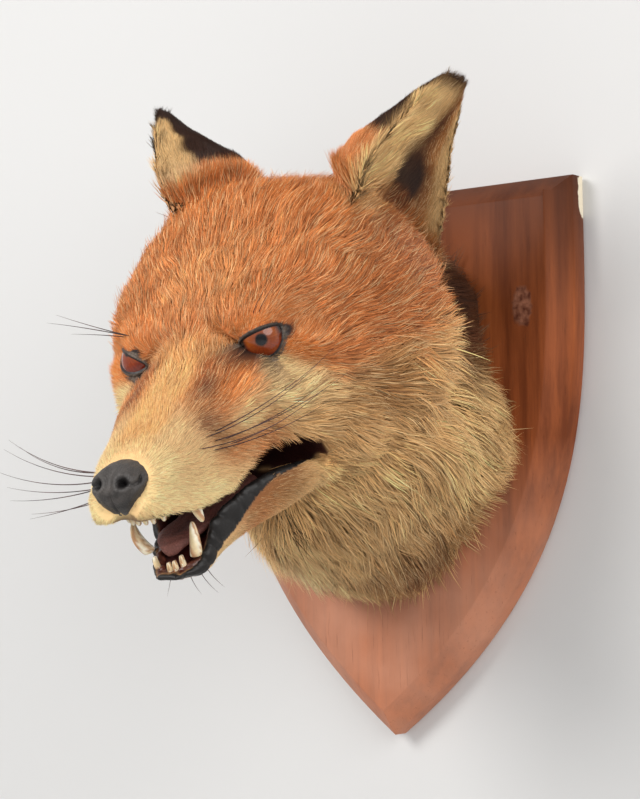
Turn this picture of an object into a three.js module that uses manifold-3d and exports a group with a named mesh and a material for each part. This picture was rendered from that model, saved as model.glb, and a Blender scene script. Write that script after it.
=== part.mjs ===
// Red fox head, mounted on a shield-shaped hardwood board. Millimetres, +Z up.
// The board's back lies in the plane y = 0 with its middle at the origin, and the head looks out along -Y.
// The head's own shapes are written in head axes: f forward, l to the fox's left, u up, from between the eyes.

import * as THREE from "three";
import { mergeVertices } from "three/addons/utils/BufferGeometryUtils.js";
import Module from "manifold-3d";

const wasm = await Module();
wasm.setup();

// ---------------------------------------------------------------- driving dimensions

const BOARD_HEIGHT = 254;
const BOARD_WIDTH = 203.2;
const BOARD_THICK = 19.05;
const BOARD_BEVEL = 9.5;
const SHOULDER_DROP = 94; // how far the side stays nearly straight below the top edge
const POINT_FLARE = 9; // how far the curve's lower handle stands outside the board's side
const POINT_RISE = 83; // height of that handle above the board's point

const GAP = 0.3; // clearance left between pieces that touch

const HEAD_PLACE = new THREE.Vector3(19.6, -169.6, 44.6);
const HEAD_YAW = 5.9;
const HEAD_PITCH = 23.8;
const HEAD_ROLL = 2.3;

const EYE_RADIUS = 10;
const EYE_LEFT = [-4, 28, 0]; // the eyeballs' centres: the right one is set a little lower and wider
const EYE_RIGHT = [-1.5, -31, -4];
const EYE_LENGTH = 20; // the opening between the lids, corner to corner
const EYE_OPENING = 11;
const EYE_CUT_DEPTH = 24;
const EYE_OUTWARD = [0.89, 0.44, 0.1]; // the way the opening faces, on the left
const EYE_CORNERS = [-0.42, 0.89, 0.18]; // the line through its two corners
const EYE_CUT_START = [2, 1.2, 0];

// Outer surface of the coat, head and muzzle, as [f, value] landmarks.
const HEAD_TOP = profile([
  [81, -34], [76, -25], [64, -19], [50, -14], [36, -8], [20, -0.5], [8, 7], [-6, 19], [-28, 34],
  [-50, 45.5], [-70, 49], [-90, 44], [-104, 32],
]);
const HEAD_HALF_WIDTH = profile([
  [81, 12.5], [77, 16.5], [66, 20], [52, 23], [36, 28], [22, 35], [10, 43], [0, 50], [-12, 56],
  [-30, 63], [-55, 70], [-75, 71], [-92, 62], [-104, 46],
]);
const LIP_LINE = profile([
  [81, -43.5], [75, -45.2], [66, -47.5], [56, -50], [46, -50.5], [39, -49.8], [34, -46.5], [27, -41.5],
  [18, -38.5], [12, -39.5], [0, -46.5], [-9, -53], [-12, -62], [-18, -73], [-28, -80], [-45, -83], [-70, -80],
  [-92, -62], [-104, -40],
]);
const WIDEST_LEVEL = profile([
  [81, -38], [66, -36], [46, -32], [30, -23], [14, -15], [0, -9], [-20, -8], [-50, -20], [-75, -22],
  [-104, -12],
]);
const SECTION_SQUARE_TOP = profile([
  [81, 2.2], [60, 2.6], [38, 2.5], [22, 2.0], [12, 2.0], [2, 2.7], [-20, 2.7], [-104, 2.1],
]);
const SECTION_SQUARE_BOTTOM = profile([
  [81, 3.6], [66, 6.5], [30, 7.5], [0, 7], [-12, 4.8], [-28, 3.2], [-104, 2],
]);
const PALATE_RISE = profile([[76, 0], [70, 5], [40, 9], [20, 14], [4, 15], [-5, 10], [-11, 0]]);
// Modelling of the face about each eye: where from its centre (forward, outward, up), how far it reaches,
// and which way it pushes the surface.
const FACE_FORMS = [
  { place: [20, -3, -2], reach: [12, 10, 9], push: [-7, -4, 0] }, // hollow before the eye
  { place: [8, 5, 10], reach: [11, 12, 6], push: [4, 0, 1] }, // brow
  { place: [12, 14, -12], reach: [14, 9, 9], push: [2, 3, 0] }, // cheekbone
];
const LIP_SHARE = 0.86; // the mouth's walls stand at this share of the half-width
const HEAD_FRONT = 81;
const HEAD_BACK = -104;

// Lower jaw, outer surface of its coat.
const JAW_FRONT = 65;
const JAW_BACK = -22;
const JAW_TOP = profile([
  [65, -73.5], [58, -71.5], [54, -68.5], [50, -62], [46, -55.5], [42, -52.3], [36, -51], [30, -48.5],
  [20, -46.8], [10, -47.5], [0, -49.5], [-12, -54.5], [-22, -60],
]);
const JAW_BOTTOM = profile([
  [65, -75], [61, -75.8], [54, -78.8], [46, -79.5], [36, -77], [24, -75.5], [12, -75], [0, -74], [-22, -69],
]);
const JAW_HALF_WIDTH = profile([
  [65, 4], [61, 8.5], [54, 13], [44, 17], [34, 22], [24, 27.5], [12, 34], [0, 39], [-12, 41], [-22, 34],
]);
const JAW_TROUGH = profile([[62, 0], [57, 2], [47, 11], [40, 16], [20, 18], [0, 15], [-12, 6], [-20, 0]]);

// Neck, in the board's axes: sections parallel to the board, as [y, value] landmarks.
const NECK_START = -BOARD_THICK - GAP;
const NECK_END = -130;
const NECK_TOP = profile([[-19, 98], [-40, 102], [-70, 106], [-100, 96], [-130, 40]]);
const NECK_BOTTOM = profile([[-19, -66], [-34, -63], [-60, -55], [-90, -42], [-118, -31], [-130, -27]]);
const NECK_LEFT = profile([[-19, 75], [-34, 83], [-60, 82], [-90, 78], [-118, 65], [-130, 50]]);
const NECK_RIGHT = profile([[-19, -58], [-34, -59], [-60, -55], [-90, -44], [-118, -14], [-130, 2]]);
const NECK_LEVEL = profile([[-19, 9], [-60, 6], [-118, 4], [-130, 0]]);
const NECK_KEEL = -8; // the ruff's lowest point lies this far towards the fox's right of its middle
// Half-width of a neck section, as a share of the widest, by height: -1 at the throat, 1 at the nape.
const NECK_SHARE = profile([
  [-1, 0], [-0.95, 0.3], [-0.8, 0.5], [-0.52, 0.73], [-0.28, 0.9], [0, 1], [0.25, 0.9], [0.45, 0.78],
  [0.75, 0.76], [0.92, 0.56], [1, 0],
]);

// Each ear's rim, in head axes: where it springs from the head on both sides, and its tip.
const EAR_LEFT = { tip: [-106, 88, 73], inner: [-60, 52.5, 33], outer: [-104, 62, 5] };
const EAR_RIGHT = { tip: [-106, -63, 82], inner: [-62, -41, 41], outer: [-106, -50, 13] };
// From the open side to the ear's back, by share of the way from root to tip.
const EAR_DEPTH = profile([[0, 36], [0.3, 33], [0.5, 25], [0.68, 14], [0.88, 6], [1, 0.5]]);
const EAR_THICK = 5;
const EAR_TIP_HALF_WIDTH = 6.5;
const EAR_INNER_BOW = 15; // how far the inner rim bows out from the straight line to the tip
const EAR_OUTER_BOW = 2;

const NOSE_CENTRE = [74.2, 0, -31.8];
const NOSE_HALF_WIDTH = 12.8;
const NOSE_HALF_LENGTH = 9.2;
const NOSE_HALF_HEIGHT = 11.2;
const NOSE_TILT = -14;
const NOSTRIL_PLACE = [80.9, 6.2, -27.4];
const NOSTRIL_RADIUS = 2.3;

// Teeth, by root and tip on the left; only the lower canines lean differently on the two sides.
const UPPER_CANINE = { root: [54, 13.5, -44], tip: [53, 15, -58.5], radius: 3.1, bend: [1.2, 0.8, 0] };
const UPPER_PREMOLAR = { root: [44.5, 16, -43], tip: [44.5, 16.6, -51.8], radius: 2.8, bend: [0, 0, 0] };
const UPPER_INCISORS = [[68.6, 1.7], [67.8, 4.9], [65.4, 8.2]];
const UPPER_INCISOR = { root: -43, tip: -49.8, radius: 1.75 };
const LOWER_CANINE_ROOT = [55, 8.8, -69];
const LOWER_CANINE_TIP_LEFT = [54.5, 11.6, -55.5];
const LOWER_CANINE_TIP_RIGHT = [57.5, 14, -52.5];
const LOWER_CANINE_RADIUS = 3;
const LOWER_CANINE_BEND = [2, 1.4, 0];
const LOWER_INCISORS = [[60.2, 1.5], [59.8, 4], [58.2, 6.4]];
const LOWER_INCISOR = { root: -72.5, tip: -68.3, radius: 1.4 };
const INCISOR_LEAN = 1;
const UPPER_ARCH = [[40, 16.8, -44], [52, 14, -45.5], [63, 10, -44.5], [68.5, 5, -43.5]];
const UPPER_GUM = { arch: UPPER_ARCH, height: 8, thick: 6 };
const LOWER_ARCH = [[44, 11, -65], [52, 9.5, -68.5], [57, 7, -71], [60, 3.5, -72.5]];
const LOWER_GUM = { arch: LOWER_ARCH, height: 7, thick: 5.5 };

const TONGUE_TIP = 56;
const TONGUE_BACK = -2;
const TONGUE_HALF_WIDTH = profile([[56, 3], [54, 5.5], [50, 7.4], [35, 9.4], [10, 11], [-2, 8]]);
const TONGUE_TOP = profile([[56, -64.5], [53, -62.3], [45, -60.5], [25, -57], [8, -56], [-2, -57]]);
const TONGUE_MIDDLE = profile([[56, -1], [40, -0.5], [20, 0]]);
const TONGUE_HALF_THICK = 2.4;
const TONGUE_BELLY = 3.4;
const TONGUE_GROOVE = 1.1;

// ---------------------------------------------------------------- helpers

// A smooth curve through [position, value] landmarks, without overshoot between them.
function profile(landmarks) {
  const pts = [...landmarks].sort((a, b) => a[0] - b[0]);
  const rise = pts.slice(1).map((p, i) => (p[1] - pts[i][1]) / (p[0] - pts[i][0]));
  const slope = pts.map((_, i) => {
    if (i === 0) return rise[0];
    if (i === pts.length - 1) return rise[i - 1];
    const same = rise[i - 1] * rise[i] > 0;
    return same ? (2 * rise[i - 1] * rise[i]) / (rise[i - 1] + rise[i]) : 0;
  });
  return (x) => {
    if (x <= pts[0][0]) return pts[0][1];
    if (x >= pts[pts.length - 1][0]) return pts[pts.length - 1][1];
    const i = pts.findIndex((p) => p[0] > x) - 1;
    const span = pts[i + 1][0] - pts[i][0];
    const t = (x - pts[i][0]) / span;
    const ease = t * t * (3 - 2 * t);
    const start = t * (1 - t) * (1 - t) * span * slope[i];
    const end = t * t * (t - 1) * span * slope[i + 1];
    return pts[i][1] * (1 - ease) + pts[i + 1][1] * ease + start + end;
  };
}

// A point of the head, given forward, left and up, in the head group's own x, y, z.
function headPoint(f, l, u) {
  return new THREE.Vector3(l, -f, u);
}

// The same for a point given on the fox's left: side is 1 there and -1 on the right.
function onSide([f, l, u], side) {
  return headPoint(f, side * l, u);
}

// Stations from start to end, closer together towards both ends.
function stations(start, end, count) {
  const crowding = 0.45;
  return Array.from({ length: count + 1 }, (_, i) => {
    const even = i / count;
    const eased = 0.5 - 0.5 * Math.cos(Math.PI * even);
    return start + (end - start) * ((1 - crowding) * even + crowding * eased);
  });
}

// One point of an egg-shaped section: the unit superellipse at an angle.
function sectionPoint(angle, squareTop, squareBottom) {
  const c = Math.cos(angle);
  const s = Math.sin(angle);
  const power = 2 / (s > 0 ? squareTop : squareBottom);
  return [Math.sign(c) * Math.abs(c) ** power, Math.sign(s) * Math.abs(s) ** power];
}

// 1 over the middle of a mouth's hollow, falling steeply to 0 at its wall: out is the distance from the middle.
function flatFloor(out, half, grow) {
  const wall = LIP_SHARE * (half - grow);
  return Math.max(0, 1 - ((out + grow) / wall) ** 8);
}

// A closed body through rings of equal length, with a fan over each end.
function loft(rings) {
  const sides = rings[0].length;
  const middle = (ring) => ring.reduce((sum, p) => sum.add(p), new THREE.Vector3()).divideScalar(sides);
  const points = [...rings.flat(), middle(rings[0]), middle(rings[rings.length - 1])];
  const firstMiddle = rings.length * sides;
  const faces = [];
  for (let r = 0; r + 1 < rings.length; r++) {
    for (let i = 0; i < sides; i++) {
      const j = (i + 1) % sides;
      const a = r * sides;
      const b = a + sides;
      faces.push(a + i, a + j, b + j, a + i, b + j, b + i);
    }
  }
  const last = (rings.length - 1) * sides;
  for (let i = 0; i < sides; i++) {
    const j = (i + 1) % sides;
    faces.push(firstMiddle, j, i, firstMiddle + 1, last + i, last + j);
  }
  const body = new THREE.BufferGeometry().setFromPoints(points);
  body.setIndex(faces);
  return body;
}

// The geometry as a manifold-3d solid, whichever way its faces were wound.
function solid(geometry) {
  const bare = geometry.clone();
  bare.deleteAttribute("normal");
  bare.deleteAttribute("uv");
  const merged = mergeVertices(bare, 1e-3);
  const build = (triVerts) =>
    new wasm.Manifold(
      new wasm.Mesh({ numProp: 3, vertProperties: merged.attributes.position.array, triVerts }),
    );
  const made = build(new Uint32Array(merged.index.array));
  return made.volume() < 0 ? build(new Uint32Array(merged.index.array).reverse()) : made;
}

function geometryOf(body) {
  const mesh = body.getMesh();
  const geometry = new THREE.BufferGeometry();
  geometry.setAttribute("position", new THREE.BufferAttribute(mesh.vertProperties, 3));
  geometry.setIndex(new THREE.BufferAttribute(mesh.triVerts, 1));
  geometry.computeVertexNormals();
  return geometry;
}

function cutFrom(body, ...cutters) {
  return cutters.reduce((left, cutter) => left.subtract(cutter), body);
}

function named(name, body, color, roughness) {
  const material = new THREE.MeshStandardMaterial({ color, roughness, metalness: 0, name });
  const mesh = new THREE.Mesh(geometryOf(body), material);
  mesh.name = name;
  return mesh;
}

// ---------------------------------------------------------------- board

function boardOutline(inset) {
  const half = BOARD_WIDTH / 2;
  const top = BOARD_HEIGHT / 2;
  const side = new THREE.CubicBezierCurve(
    new THREE.Vector2(half, top),
    new THREE.Vector2(half, top - SHOULDER_DROP),
    new THREE.Vector2(half + POINT_FLARE, POINT_RISE - top),
    new THREE.Vector2(0, -top),
  ).getPoints(22);
  const right = side.map((p) => new THREE.Vector2(-p.x, p.y));
  const outline = [...side, ...right.slice(0, -1).reverse()];
  return outline.map((p, i) => {
    const before = outline[(i + outline.length - 1) % outline.length];
    const after = outline[(i + 1) % outline.length];
    const into = p.clone().sub(before).normalize();
    const out = after.clone().sub(p).normalize();
    const inward = new THREE.Vector2(into.y + out.y, -(into.x + out.x)).normalize();
    const spread = Math.sqrt((1 + into.dot(out)) / 2);
    return p.clone().addScaledVector(inward, inset / spread);
  });
}

function boardRing(inset, y) {
  return boardOutline(inset).map((p) => new THREE.Vector3(p.x, y, p.y));
}

function board() {
  return solid(
    loft([
      boardRing(0, 0),
      boardRing(0, BOARD_BEVEL - BOARD_THICK),
      boardRing(BOARD_BEVEL, -BOARD_THICK),
    ]),
  );
}

// ---------------------------------------------------------------- head, jaw and neck

const HEAD_SIDES = 34;
const HEAD_STATIONS = 27;

// A point of the head's surface after the face's forms have pushed it.
function modelled(f, l, u) {
  const side = Math.sign(l);
  const eye = side > 0 ? EYE_LEFT : EYE_RIGHT;
  const fromEye = [f - eye[0], side * (l - eye[1]), u - eye[2]];
  const pushed = [f, l, u];
  for (const { place, reach, push } of FACE_FORMS) {
    const away = fromEye.map((d, axis) => d - place[axis]);
    const weight = Math.exp(-away.reduce((sum, d, axis) => sum + (d / reach[axis]) ** 2, 0));
    push.forEach((amount, axis) => {
      pushed[axis] += weight * amount * (axis === 1 ? side : 1);
    });
  }
  return headPoint(...pushed);
}

function headSection(f, grow) {
  const top = HEAD_TOP(f) + grow;
  const bottom = LIP_LINE(f) - grow;
  const level = WIDEST_LEVEL(f);
  const half = HEAD_HALF_WIDTH(f) + grow;
  return Array.from({ length: HEAD_SIDES }, (_, i) => {
    const angle = (2 * Math.PI * i) / HEAD_SIDES;
    const [across, up] = sectionPoint(angle, SECTION_SQUARE_TOP(f), SECTION_SQUARE_BOTTOM(f));
    const l = half * across;
    const vault = up < 0 ? PALATE_RISE(f) * up * up * flatFloor(Math.abs(l), half, grow) : 0;
    const height = up > 0 ? (top - level) * up : (level - bottom) * up + vault;
    return modelled(f, l, level + height);
  });
}

function headBody(grow) {
  const rings = stations(HEAD_FRONT + grow, HEAD_BACK - grow, HEAD_STATIONS).map((f) => headSection(f, grow));
  return solid(loft(rings));
}

const JAW_SIDES = 26;
const JAW_STATIONS = 15;
const JAW_SQUARE_TOP = 3.2;
const JAW_SQUARE_BOTTOM = 2.1;
const JAW_WIDEST_BELOW = 9; // the jaw is widest at most this far below its upper edge

function jawSection(f, grow) {
  const top = JAW_TOP(f) + grow;
  const bottom = JAW_BOTTOM(f) - grow;
  const level = Math.max((top + bottom) / 2 - 1, top - JAW_WIDEST_BELOW);
  const half = JAW_HALF_WIDTH(f) + grow;
  return Array.from({ length: JAW_SIDES }, (_, i) => {
    const [across, up] = sectionPoint((2 * Math.PI * i) / JAW_SIDES, JAW_SQUARE_TOP, JAW_SQUARE_BOTTOM);
    const l = half * across;
    const trough = up > 0 ? JAW_TROUGH(f) * up * up * flatFloor(Math.abs(l), half, grow) : 0;
    const height = up > 0 ? (top - level) * up - trough : (level - bottom) * up;
    return headPoint(f, l, level + height);
  });
}

function jawBody(grow) {
  const rings = stations(JAW_FRONT + grow, JAW_BACK - grow, JAW_STATIONS).map((f) => jawSection(f, grow));
  return solid(loft(rings));
}

const NECK_SIDES = 30;
const NECK_STATIONS = 10;

function neckSection(y, grow) {
  const middle = (NECK_LEFT(y) + NECK_RIGHT(y)) / 2;
  const half = (NECK_LEFT(y) - NECK_RIGHT(y)) / 2;
  const level = NECK_LEVEL(y);
  return Array.from({ length: NECK_SIDES }, (_, i) => {
    const angle = (2 * Math.PI * i) / NECK_SIDES;
    const up = Math.sin(angle);
    const across = Math.sign(Math.cos(angle)) * NECK_SHARE(up);
    const reach = up > 0 ? NECK_TOP(y) - level : level - NECK_BOTTOM(y);
    const keel = up < 0 ? NECK_KEEL * up * up : 0;
    const x = middle + keel + half * across + grow * Math.cos(angle);
    return new THREE.Vector3(x, y, level + reach * up + grow * up);
  });
}

function neckBody(grow) {
  const rings = stations(NECK_START + grow, NECK_END - grow, NECK_STATIONS).map((y) => neckSection(y, grow));
  return solid(loft(rings));
}

// ---------------------------------------------------------------- ears

const EAR_ARC = 7;
const EAR_STATIONS = 8;
const EAR_SUNK = 0.2; // how far the root runs on into the head, as a share of the ear's height
const EAR_HOLLOW_SHARE = 0.45; // the inner wall's depth as a share of the outer's

// A cupped ear: each section is a crescent between the two rims, deepest at the root, its back to the crown.
function earBody({ tip, inner, outer }, grow) {
  const tipPoint = headPoint(...tip);
  const innerRoot = headPoint(...inner);
  const outerRoot = headPoint(...outer);
  const root = innerRoot.clone().add(outerRoot).divideScalar(2);
  const rise = tipPoint.clone().sub(root).normalize();
  const across = outerRoot.clone().sub(innerRoot);
  const halfRoot = across.length() / 2;
  const side = across.addScaledVector(rise, -across.dot(rise)).normalize();
  const back = side.clone().cross(rise).normalize();
  if (back.x * root.x > 0) back.negate();
  const rings = stations(-EAR_SUNK, 1, EAR_STATIONS).map((t) => {
    const climb = Math.max(0, t);
    const bow = Math.sin(Math.PI * climb ** 0.8) / 2;
    const taper = halfRoot * (1 - t) + (EAR_INNER_BOW + EAR_OUTER_BOW) * bow;
    const half = Math.max(EAR_TIP_HALF_WIDTH * (1 - climb ** 8 * 0.5), taper) + grow;
    const centre = root.clone().lerp(tipPoint, t).addScaledVector(side, (EAR_OUTER_BOW - EAR_INNER_BOW) * bow);
    const chord = across.clone().lerp(side, climb).normalize();
    const depth = EAR_DEPTH(climb);
    const hollow = depth * EAR_HOLLOW_SHARE;
    const thick = (EAR_THICK / 2) * (1 - climb ** 6 * 0.4) + grow;
    const arc = (reach, width, lift) =>
      Array.from({ length: EAR_ARC + 1 }, (_, i) => {
        const angle = (Math.PI * i) / EAR_ARC;
        return centre
          .clone()
          .addScaledVector(chord, -width * Math.cos(angle))
          .addScaledVector(back, reach * Math.sin(angle) + lift);
      });
    return [...arc(depth, half, thick), ...arc(hollow, half - thick / 2, -thick).reverse()];
  });
  return solid(loft(rings));
}

// ---------------------------------------------------------------- eyes and nose

function eyeCentre(side) {
  return headPoint(...(side > 0 ? EYE_LEFT : EYE_RIGHT));
}

function eyeBall(side, grow) {
  const centre = eyeCentre(side);
  return solid(new THREE.SphereGeometry(EYE_RADIUS + grow, 14, 8).translate(centre.x, centre.y, centre.z));
}

// The almond between the lids, cut from the eyeball straight out through the coat.
function eyeOpening(side) {
  const half = EYE_LENGTH / 2;
  const almond = new THREE.Shape();
  almond.moveTo(-half, 0);
  almond.quadraticCurveTo(0, EYE_OPENING, half, 0);
  almond.quadraticCurveTo(0, -EYE_OPENING, -half, 0);
  const cutter = new THREE.ExtrudeGeometry(almond, {
    depth: EYE_CUT_DEPTH,
    bevelEnabled: false,
    curveSegments: 8,
  });
  const outward = onSide(EYE_OUTWARD, side);
  const cornerLine = onSide(EYE_CORNERS, side).normalize();
  const lidLine = outward.clone().cross(cornerLine).normalize();
  const frame = new THREE.Matrix4().makeBasis(cornerLine, lidLine, outward.normalize());
  const place = eyeCentre(side).add(onSide(EYE_CUT_START, side));
  return solid(cutter.applyMatrix4(frame.setPosition(place)));
}

function noseBody(grow) {
  const pad = new THREE.SphereGeometry(1, 18, 10);
  pad.scale(NOSE_HALF_WIDTH + grow, NOSE_HALF_LENGTH + grow, NOSE_HALF_HEIGHT + grow);
  pad.rotateX(THREE.MathUtils.degToRad(NOSE_TILT));
  const centre = headPoint(...NOSE_CENTRE);
  return solid(pad.translate(centre.x, centre.y, centre.z));
}

function nostril(side) {
  const hole = new THREE.SphereGeometry(NOSTRIL_RADIUS, 8, 6).scale(0.9, 1.6, 1);
  const place = onSide(NOSTRIL_PLACE, side);
  return solid(hole.translate(place.x, place.y, place.z));
}

// ---------------------------------------------------------------- mouth

// A tooth: a tapering cone from its root to its tip, leaning and curving a little.
function tooth({ root, tip, radius, bend }, side) {
  const start = onSide(root, side);
  const end = onSide(tip, side);
  const middle = start.clone().lerp(end, 0.55).add(onSide(bend, side));
  const spine = new THREE.QuadraticBezierCurve3(start, middle, end);
  const along = end.clone().sub(start).normalize();
  const ahead = headPoint(1, 0, 0);
  const forward = ahead.clone().addScaledVector(along, -along.dot(ahead)).normalize();
  const sideways = along.clone().cross(forward);
  const narrow = 0.75;
  const rings = [0, 0.4, 0.8, 1].map((t) => {
    const width = radius * Math.sqrt(1 - 0.94 * t * t);
    return Array.from({ length: 6 }, (_, i) => {
      const angle = (Math.PI * i) / 3;
      return spine
        .getPoint(t)
        .addScaledVector(forward, width * Math.cos(angle))
        .addScaledVector(sideways, narrow * width * Math.sin(angle));
    });
  });
  return solid(loft(rings));
}

// One front tooth on each place of the arch, on one side.
function incisors(places, { root, tip, radius }, side) {
  return places.map(([f, l]) =>
    tooth({ root: [f, l, root], tip: [f + INCISOR_LEAN, l, tip], radius, bend: [0.4, 0, 0] }, side),
  );
}

// A gum: a thick strip along the arch of the teeth, which is given on the left.
function gum({ arch, height, thick }) {
  const left = arch.map((p) => onSide(p, 1));
  const right = arch.map((p) => onSide(p, -1)).reverse();
  const section = new THREE.Shape().absellipse(0, 0, thick / 2, height / 2, 0, 2 * Math.PI);
  const extrudePath = new THREE.CatmullRomCurve3([...left, ...right]);
  return solid(new THREE.ExtrudeGeometry(section, { steps: 12, extrudePath, curveSegments: 3 }));
}

function joined(first, ...others) {
  return others.reduce((all, other) => all.add(other), first);
}

function upperTeeth() {
  const teeth = [1, -1].flatMap((side) => [
    tooth(UPPER_CANINE, side),
    tooth(UPPER_PREMOLAR, side),
    ...incisors(UPPER_INCISORS, UPPER_INCISOR, side),
  ]);
  return joined(gum(UPPER_GUM), ...teeth);
}

function lowerTeeth() {
  const teeth = [1, -1].flatMap((side) => {
    const tip = side > 0 ? LOWER_CANINE_TIP_LEFT : LOWER_CANINE_TIP_RIGHT;
    const canine = { root: LOWER_CANINE_ROOT, tip, radius: LOWER_CANINE_RADIUS, bend: LOWER_CANINE_BEND };
    return [tooth(canine, side), ...incisors(LOWER_INCISORS, LOWER_INCISOR, side)];
  });
  return joined(gum(LOWER_GUM), ...teeth);
}

const TONGUE_SIDES = 14;
const TONGUE_STATIONS = 9;

function tongueBody() {
  const rings = stations(TONGUE_TIP, TONGUE_BACK, TONGUE_STATIONS).map((f) =>
    Array.from({ length: TONGUE_SIDES }, (_, i) => {
      const angle = (2 * Math.PI * i) / TONGUE_SIDES;
      const rise = Math.sin(angle);
      const groove = TONGUE_GROOVE * Math.exp(-((4 * Math.cos(angle)) ** 2)) * Math.max(0, rise);
      const up = rise > 0 ? TONGUE_HALF_THICK * rise - groove : TONGUE_BELLY * rise;
      const l = TONGUE_MIDDLE(f) + TONGUE_HALF_WIDTH(f) * Math.cos(angle);
      return headPoint(f, l, TONGUE_TOP(f) - TONGUE_HALF_THICK + up);
    }),
  );
  return solid(loft(rings));
}

// ---------------------------------------------------------------- assembly

const head = new THREE.Group();
head.position.copy(HEAD_PLACE);
head.rotation.set(
  THREE.MathUtils.degToRad(HEAD_PITCH),
  THREE.MathUtils.degToRad(-HEAD_ROLL),
  THREE.MathUtils.degToRad(HEAD_YAW),
  "ZXY",
);
head.updateMatrix();

// A solid made in head axes, in the board's axes.
function inBoardAxes(body) {
  return body.transform(head.matrix.elements);
}

// A solid made in the board's axes, in head axes.
function inHeadAxes(body) {
  return body.transform(head.matrix.clone().invert().elements);
}

const sockets = [eyeBall(1, GAP), eyeBall(-1, GAP), eyeOpening(1), eyeOpening(-1)];
const headCutter = headBody(GAP);
const jawCutter = jawBody(GAP);
const neckCutter = inHeadAxes(neckBody(GAP));

head.add(
  named("head", cutFrom(headBody(0), noseBody(GAP), ...sockets), 0xb5703c, 0.9),
  named("nose", cutFrom(noseBody(0), nostril(1), nostril(-1)), 0x1b1a1c, 0.55),
  named("lower_jaw", cutFrom(jawBody(0), headCutter), 0xa8743f, 0.9),
  named("ear_left", cutFrom(earBody(EAR_LEFT, 0), headCutter, neckCutter), 0x8f5a30, 0.9),
  named("ear_right", cutFrom(earBody(EAR_RIGHT, 0), headCutter, neckCutter), 0x3a2419, 0.9),
  named("eye_left", eyeBall(1, 0), 0x8a3a16, 0.1),
  named("eye_right", eyeBall(-1, 0), 0x8a3a16, 0.1),
  named("tongue", cutFrom(tongueBody(), headCutter, jawCutter), 0x6b2f2b, 0.4),
  named("upper_teeth", cutFrom(upperTeeth(), headCutter), 0xe6d9b8, 0.4),
  named("lower_teeth", cutFrom(lowerTeeth(), jawCutter), 0xe6d9b8, 0.4),
);

const neck = cutFrom(neckBody(0), inBoardAxes(headCutter), inBoardAxes(jawCutter));

const fox = new THREE.Group();
fox.add(head, named("plaque", board(), 0x8a4a2b, 0.45), named("neck", neck, 0xb99a68, 0.95));

export default fox;
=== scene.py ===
# %% [markdown]
# # A mounted fox head
# A preserved fox head and neck on a varnished shield board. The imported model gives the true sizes,
# so the frame is loaded first and every new piece is made in metres where its solid stands.

# %% the frame
import math
import time
from collections import namedtuple

import bmesh
import bpy
import numpy as np
from mathutils import Matrix, Vector
from mathutils.bvhtree import BVHTree
from mathutils.kdtree import KDTree


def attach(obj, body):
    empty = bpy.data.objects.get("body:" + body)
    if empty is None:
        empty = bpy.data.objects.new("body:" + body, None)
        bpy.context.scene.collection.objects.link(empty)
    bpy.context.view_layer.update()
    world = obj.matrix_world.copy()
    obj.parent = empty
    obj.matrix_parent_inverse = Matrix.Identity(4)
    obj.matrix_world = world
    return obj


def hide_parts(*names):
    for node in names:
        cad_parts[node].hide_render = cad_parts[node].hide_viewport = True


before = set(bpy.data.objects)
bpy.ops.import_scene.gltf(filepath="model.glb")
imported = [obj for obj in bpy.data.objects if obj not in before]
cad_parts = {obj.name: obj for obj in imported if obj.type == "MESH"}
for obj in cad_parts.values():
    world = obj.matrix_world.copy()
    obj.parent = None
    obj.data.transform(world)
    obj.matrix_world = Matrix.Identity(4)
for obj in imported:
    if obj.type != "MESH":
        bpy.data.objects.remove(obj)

started = time.time()
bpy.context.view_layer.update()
MM = 0.001
print("solids:", ", ".join(sorted(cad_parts)))

# %% [markdown]
# ## Two sets of axes
# The board hangs square, but the head on it is turned, raised and tilted. Everything on the face is
# easier to place along the head's own axes: f forward, l to the fox's left, u up, in millimetres from
# the point between the eyes. An array called flu holds those three as its columns. Two small functions
# go from one set to the other and back.

# %% head axes
HEAD_PLACE = np.array([19.6, -169.6, 44.6])
HEAD_YAW, HEAD_PITCH, HEAD_ROLL = 5.9, 23.8, 2.3
HEAD_TURN = np.array(
    Matrix.Rotation(math.radians(HEAD_YAW), 3, "Z")
    @ Matrix.Rotation(math.radians(HEAD_PITCH), 3, "X")
    @ Matrix.Rotation(math.radians(-HEAD_ROLL), 3, "Y")
)


def to_head(points):
    """Forward, left and up of points given in metres, as three columns in millimetres."""
    own = (np.asarray(points, float) / MM - HEAD_PLACE) @ HEAD_TURN
    return np.stack([-own[..., 1], own[..., 0], own[..., 2]], axis=-1)


def turned(flu):
    """A direction given forward, left, up, in the board's axes."""
    flu = np.asarray(flu, float)
    return np.stack([flu[..., 1], -flu[..., 0], flu[..., 2]], axis=-1) @ HEAD_TURN.T


def from_head(flu):
    """Points given forward, left and up in millimetres, in metres in the board's axes."""
    return (turned(flu) + HEAD_PLACE) * MM


def unit(v):
    """Directions made one long."""
    return v / np.maximum(np.linalg.norm(v, axis=-1, keepdims=True), 1e-9)


def smoothstep(low, high, x):
    """0 before low, 1 past high, and a soft rise between; high may be the smaller of the two."""
    t = np.clip((x - low) / (high - low), 0, 1)
    return t * t * (3 - 2 * t)


def mixed(under, over, share):
    """One value or colour laid over another by a share between 0 and 1."""
    return under * (1 - share) + over * share


def columns(*parts):
    """Rows of three from three columns, any of which may be a plain number."""
    return np.stack(np.broadcast_arrays(*parts), 1)


def profile(*landmarks):
    """A smooth function of position that follows (position, value) landmarks."""
    pts = np.array(sorted(landmarks), float)
    fine = np.linspace(pts[0, 0], pts[-1, 0], 400)
    raw = np.interp(fine, pts[:, 0], pts[:, 1])
    reach = (pts[-1, 0] - pts[0, 0]) / len(pts) / 3
    window = np.exp(-(((fine[:, None] - fine[None, :]) / reach) ** 2))
    soft = (window * raw).sum(1) / window.sum(1)
    return lambda x: np.interp(x, fine, soft)


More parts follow.
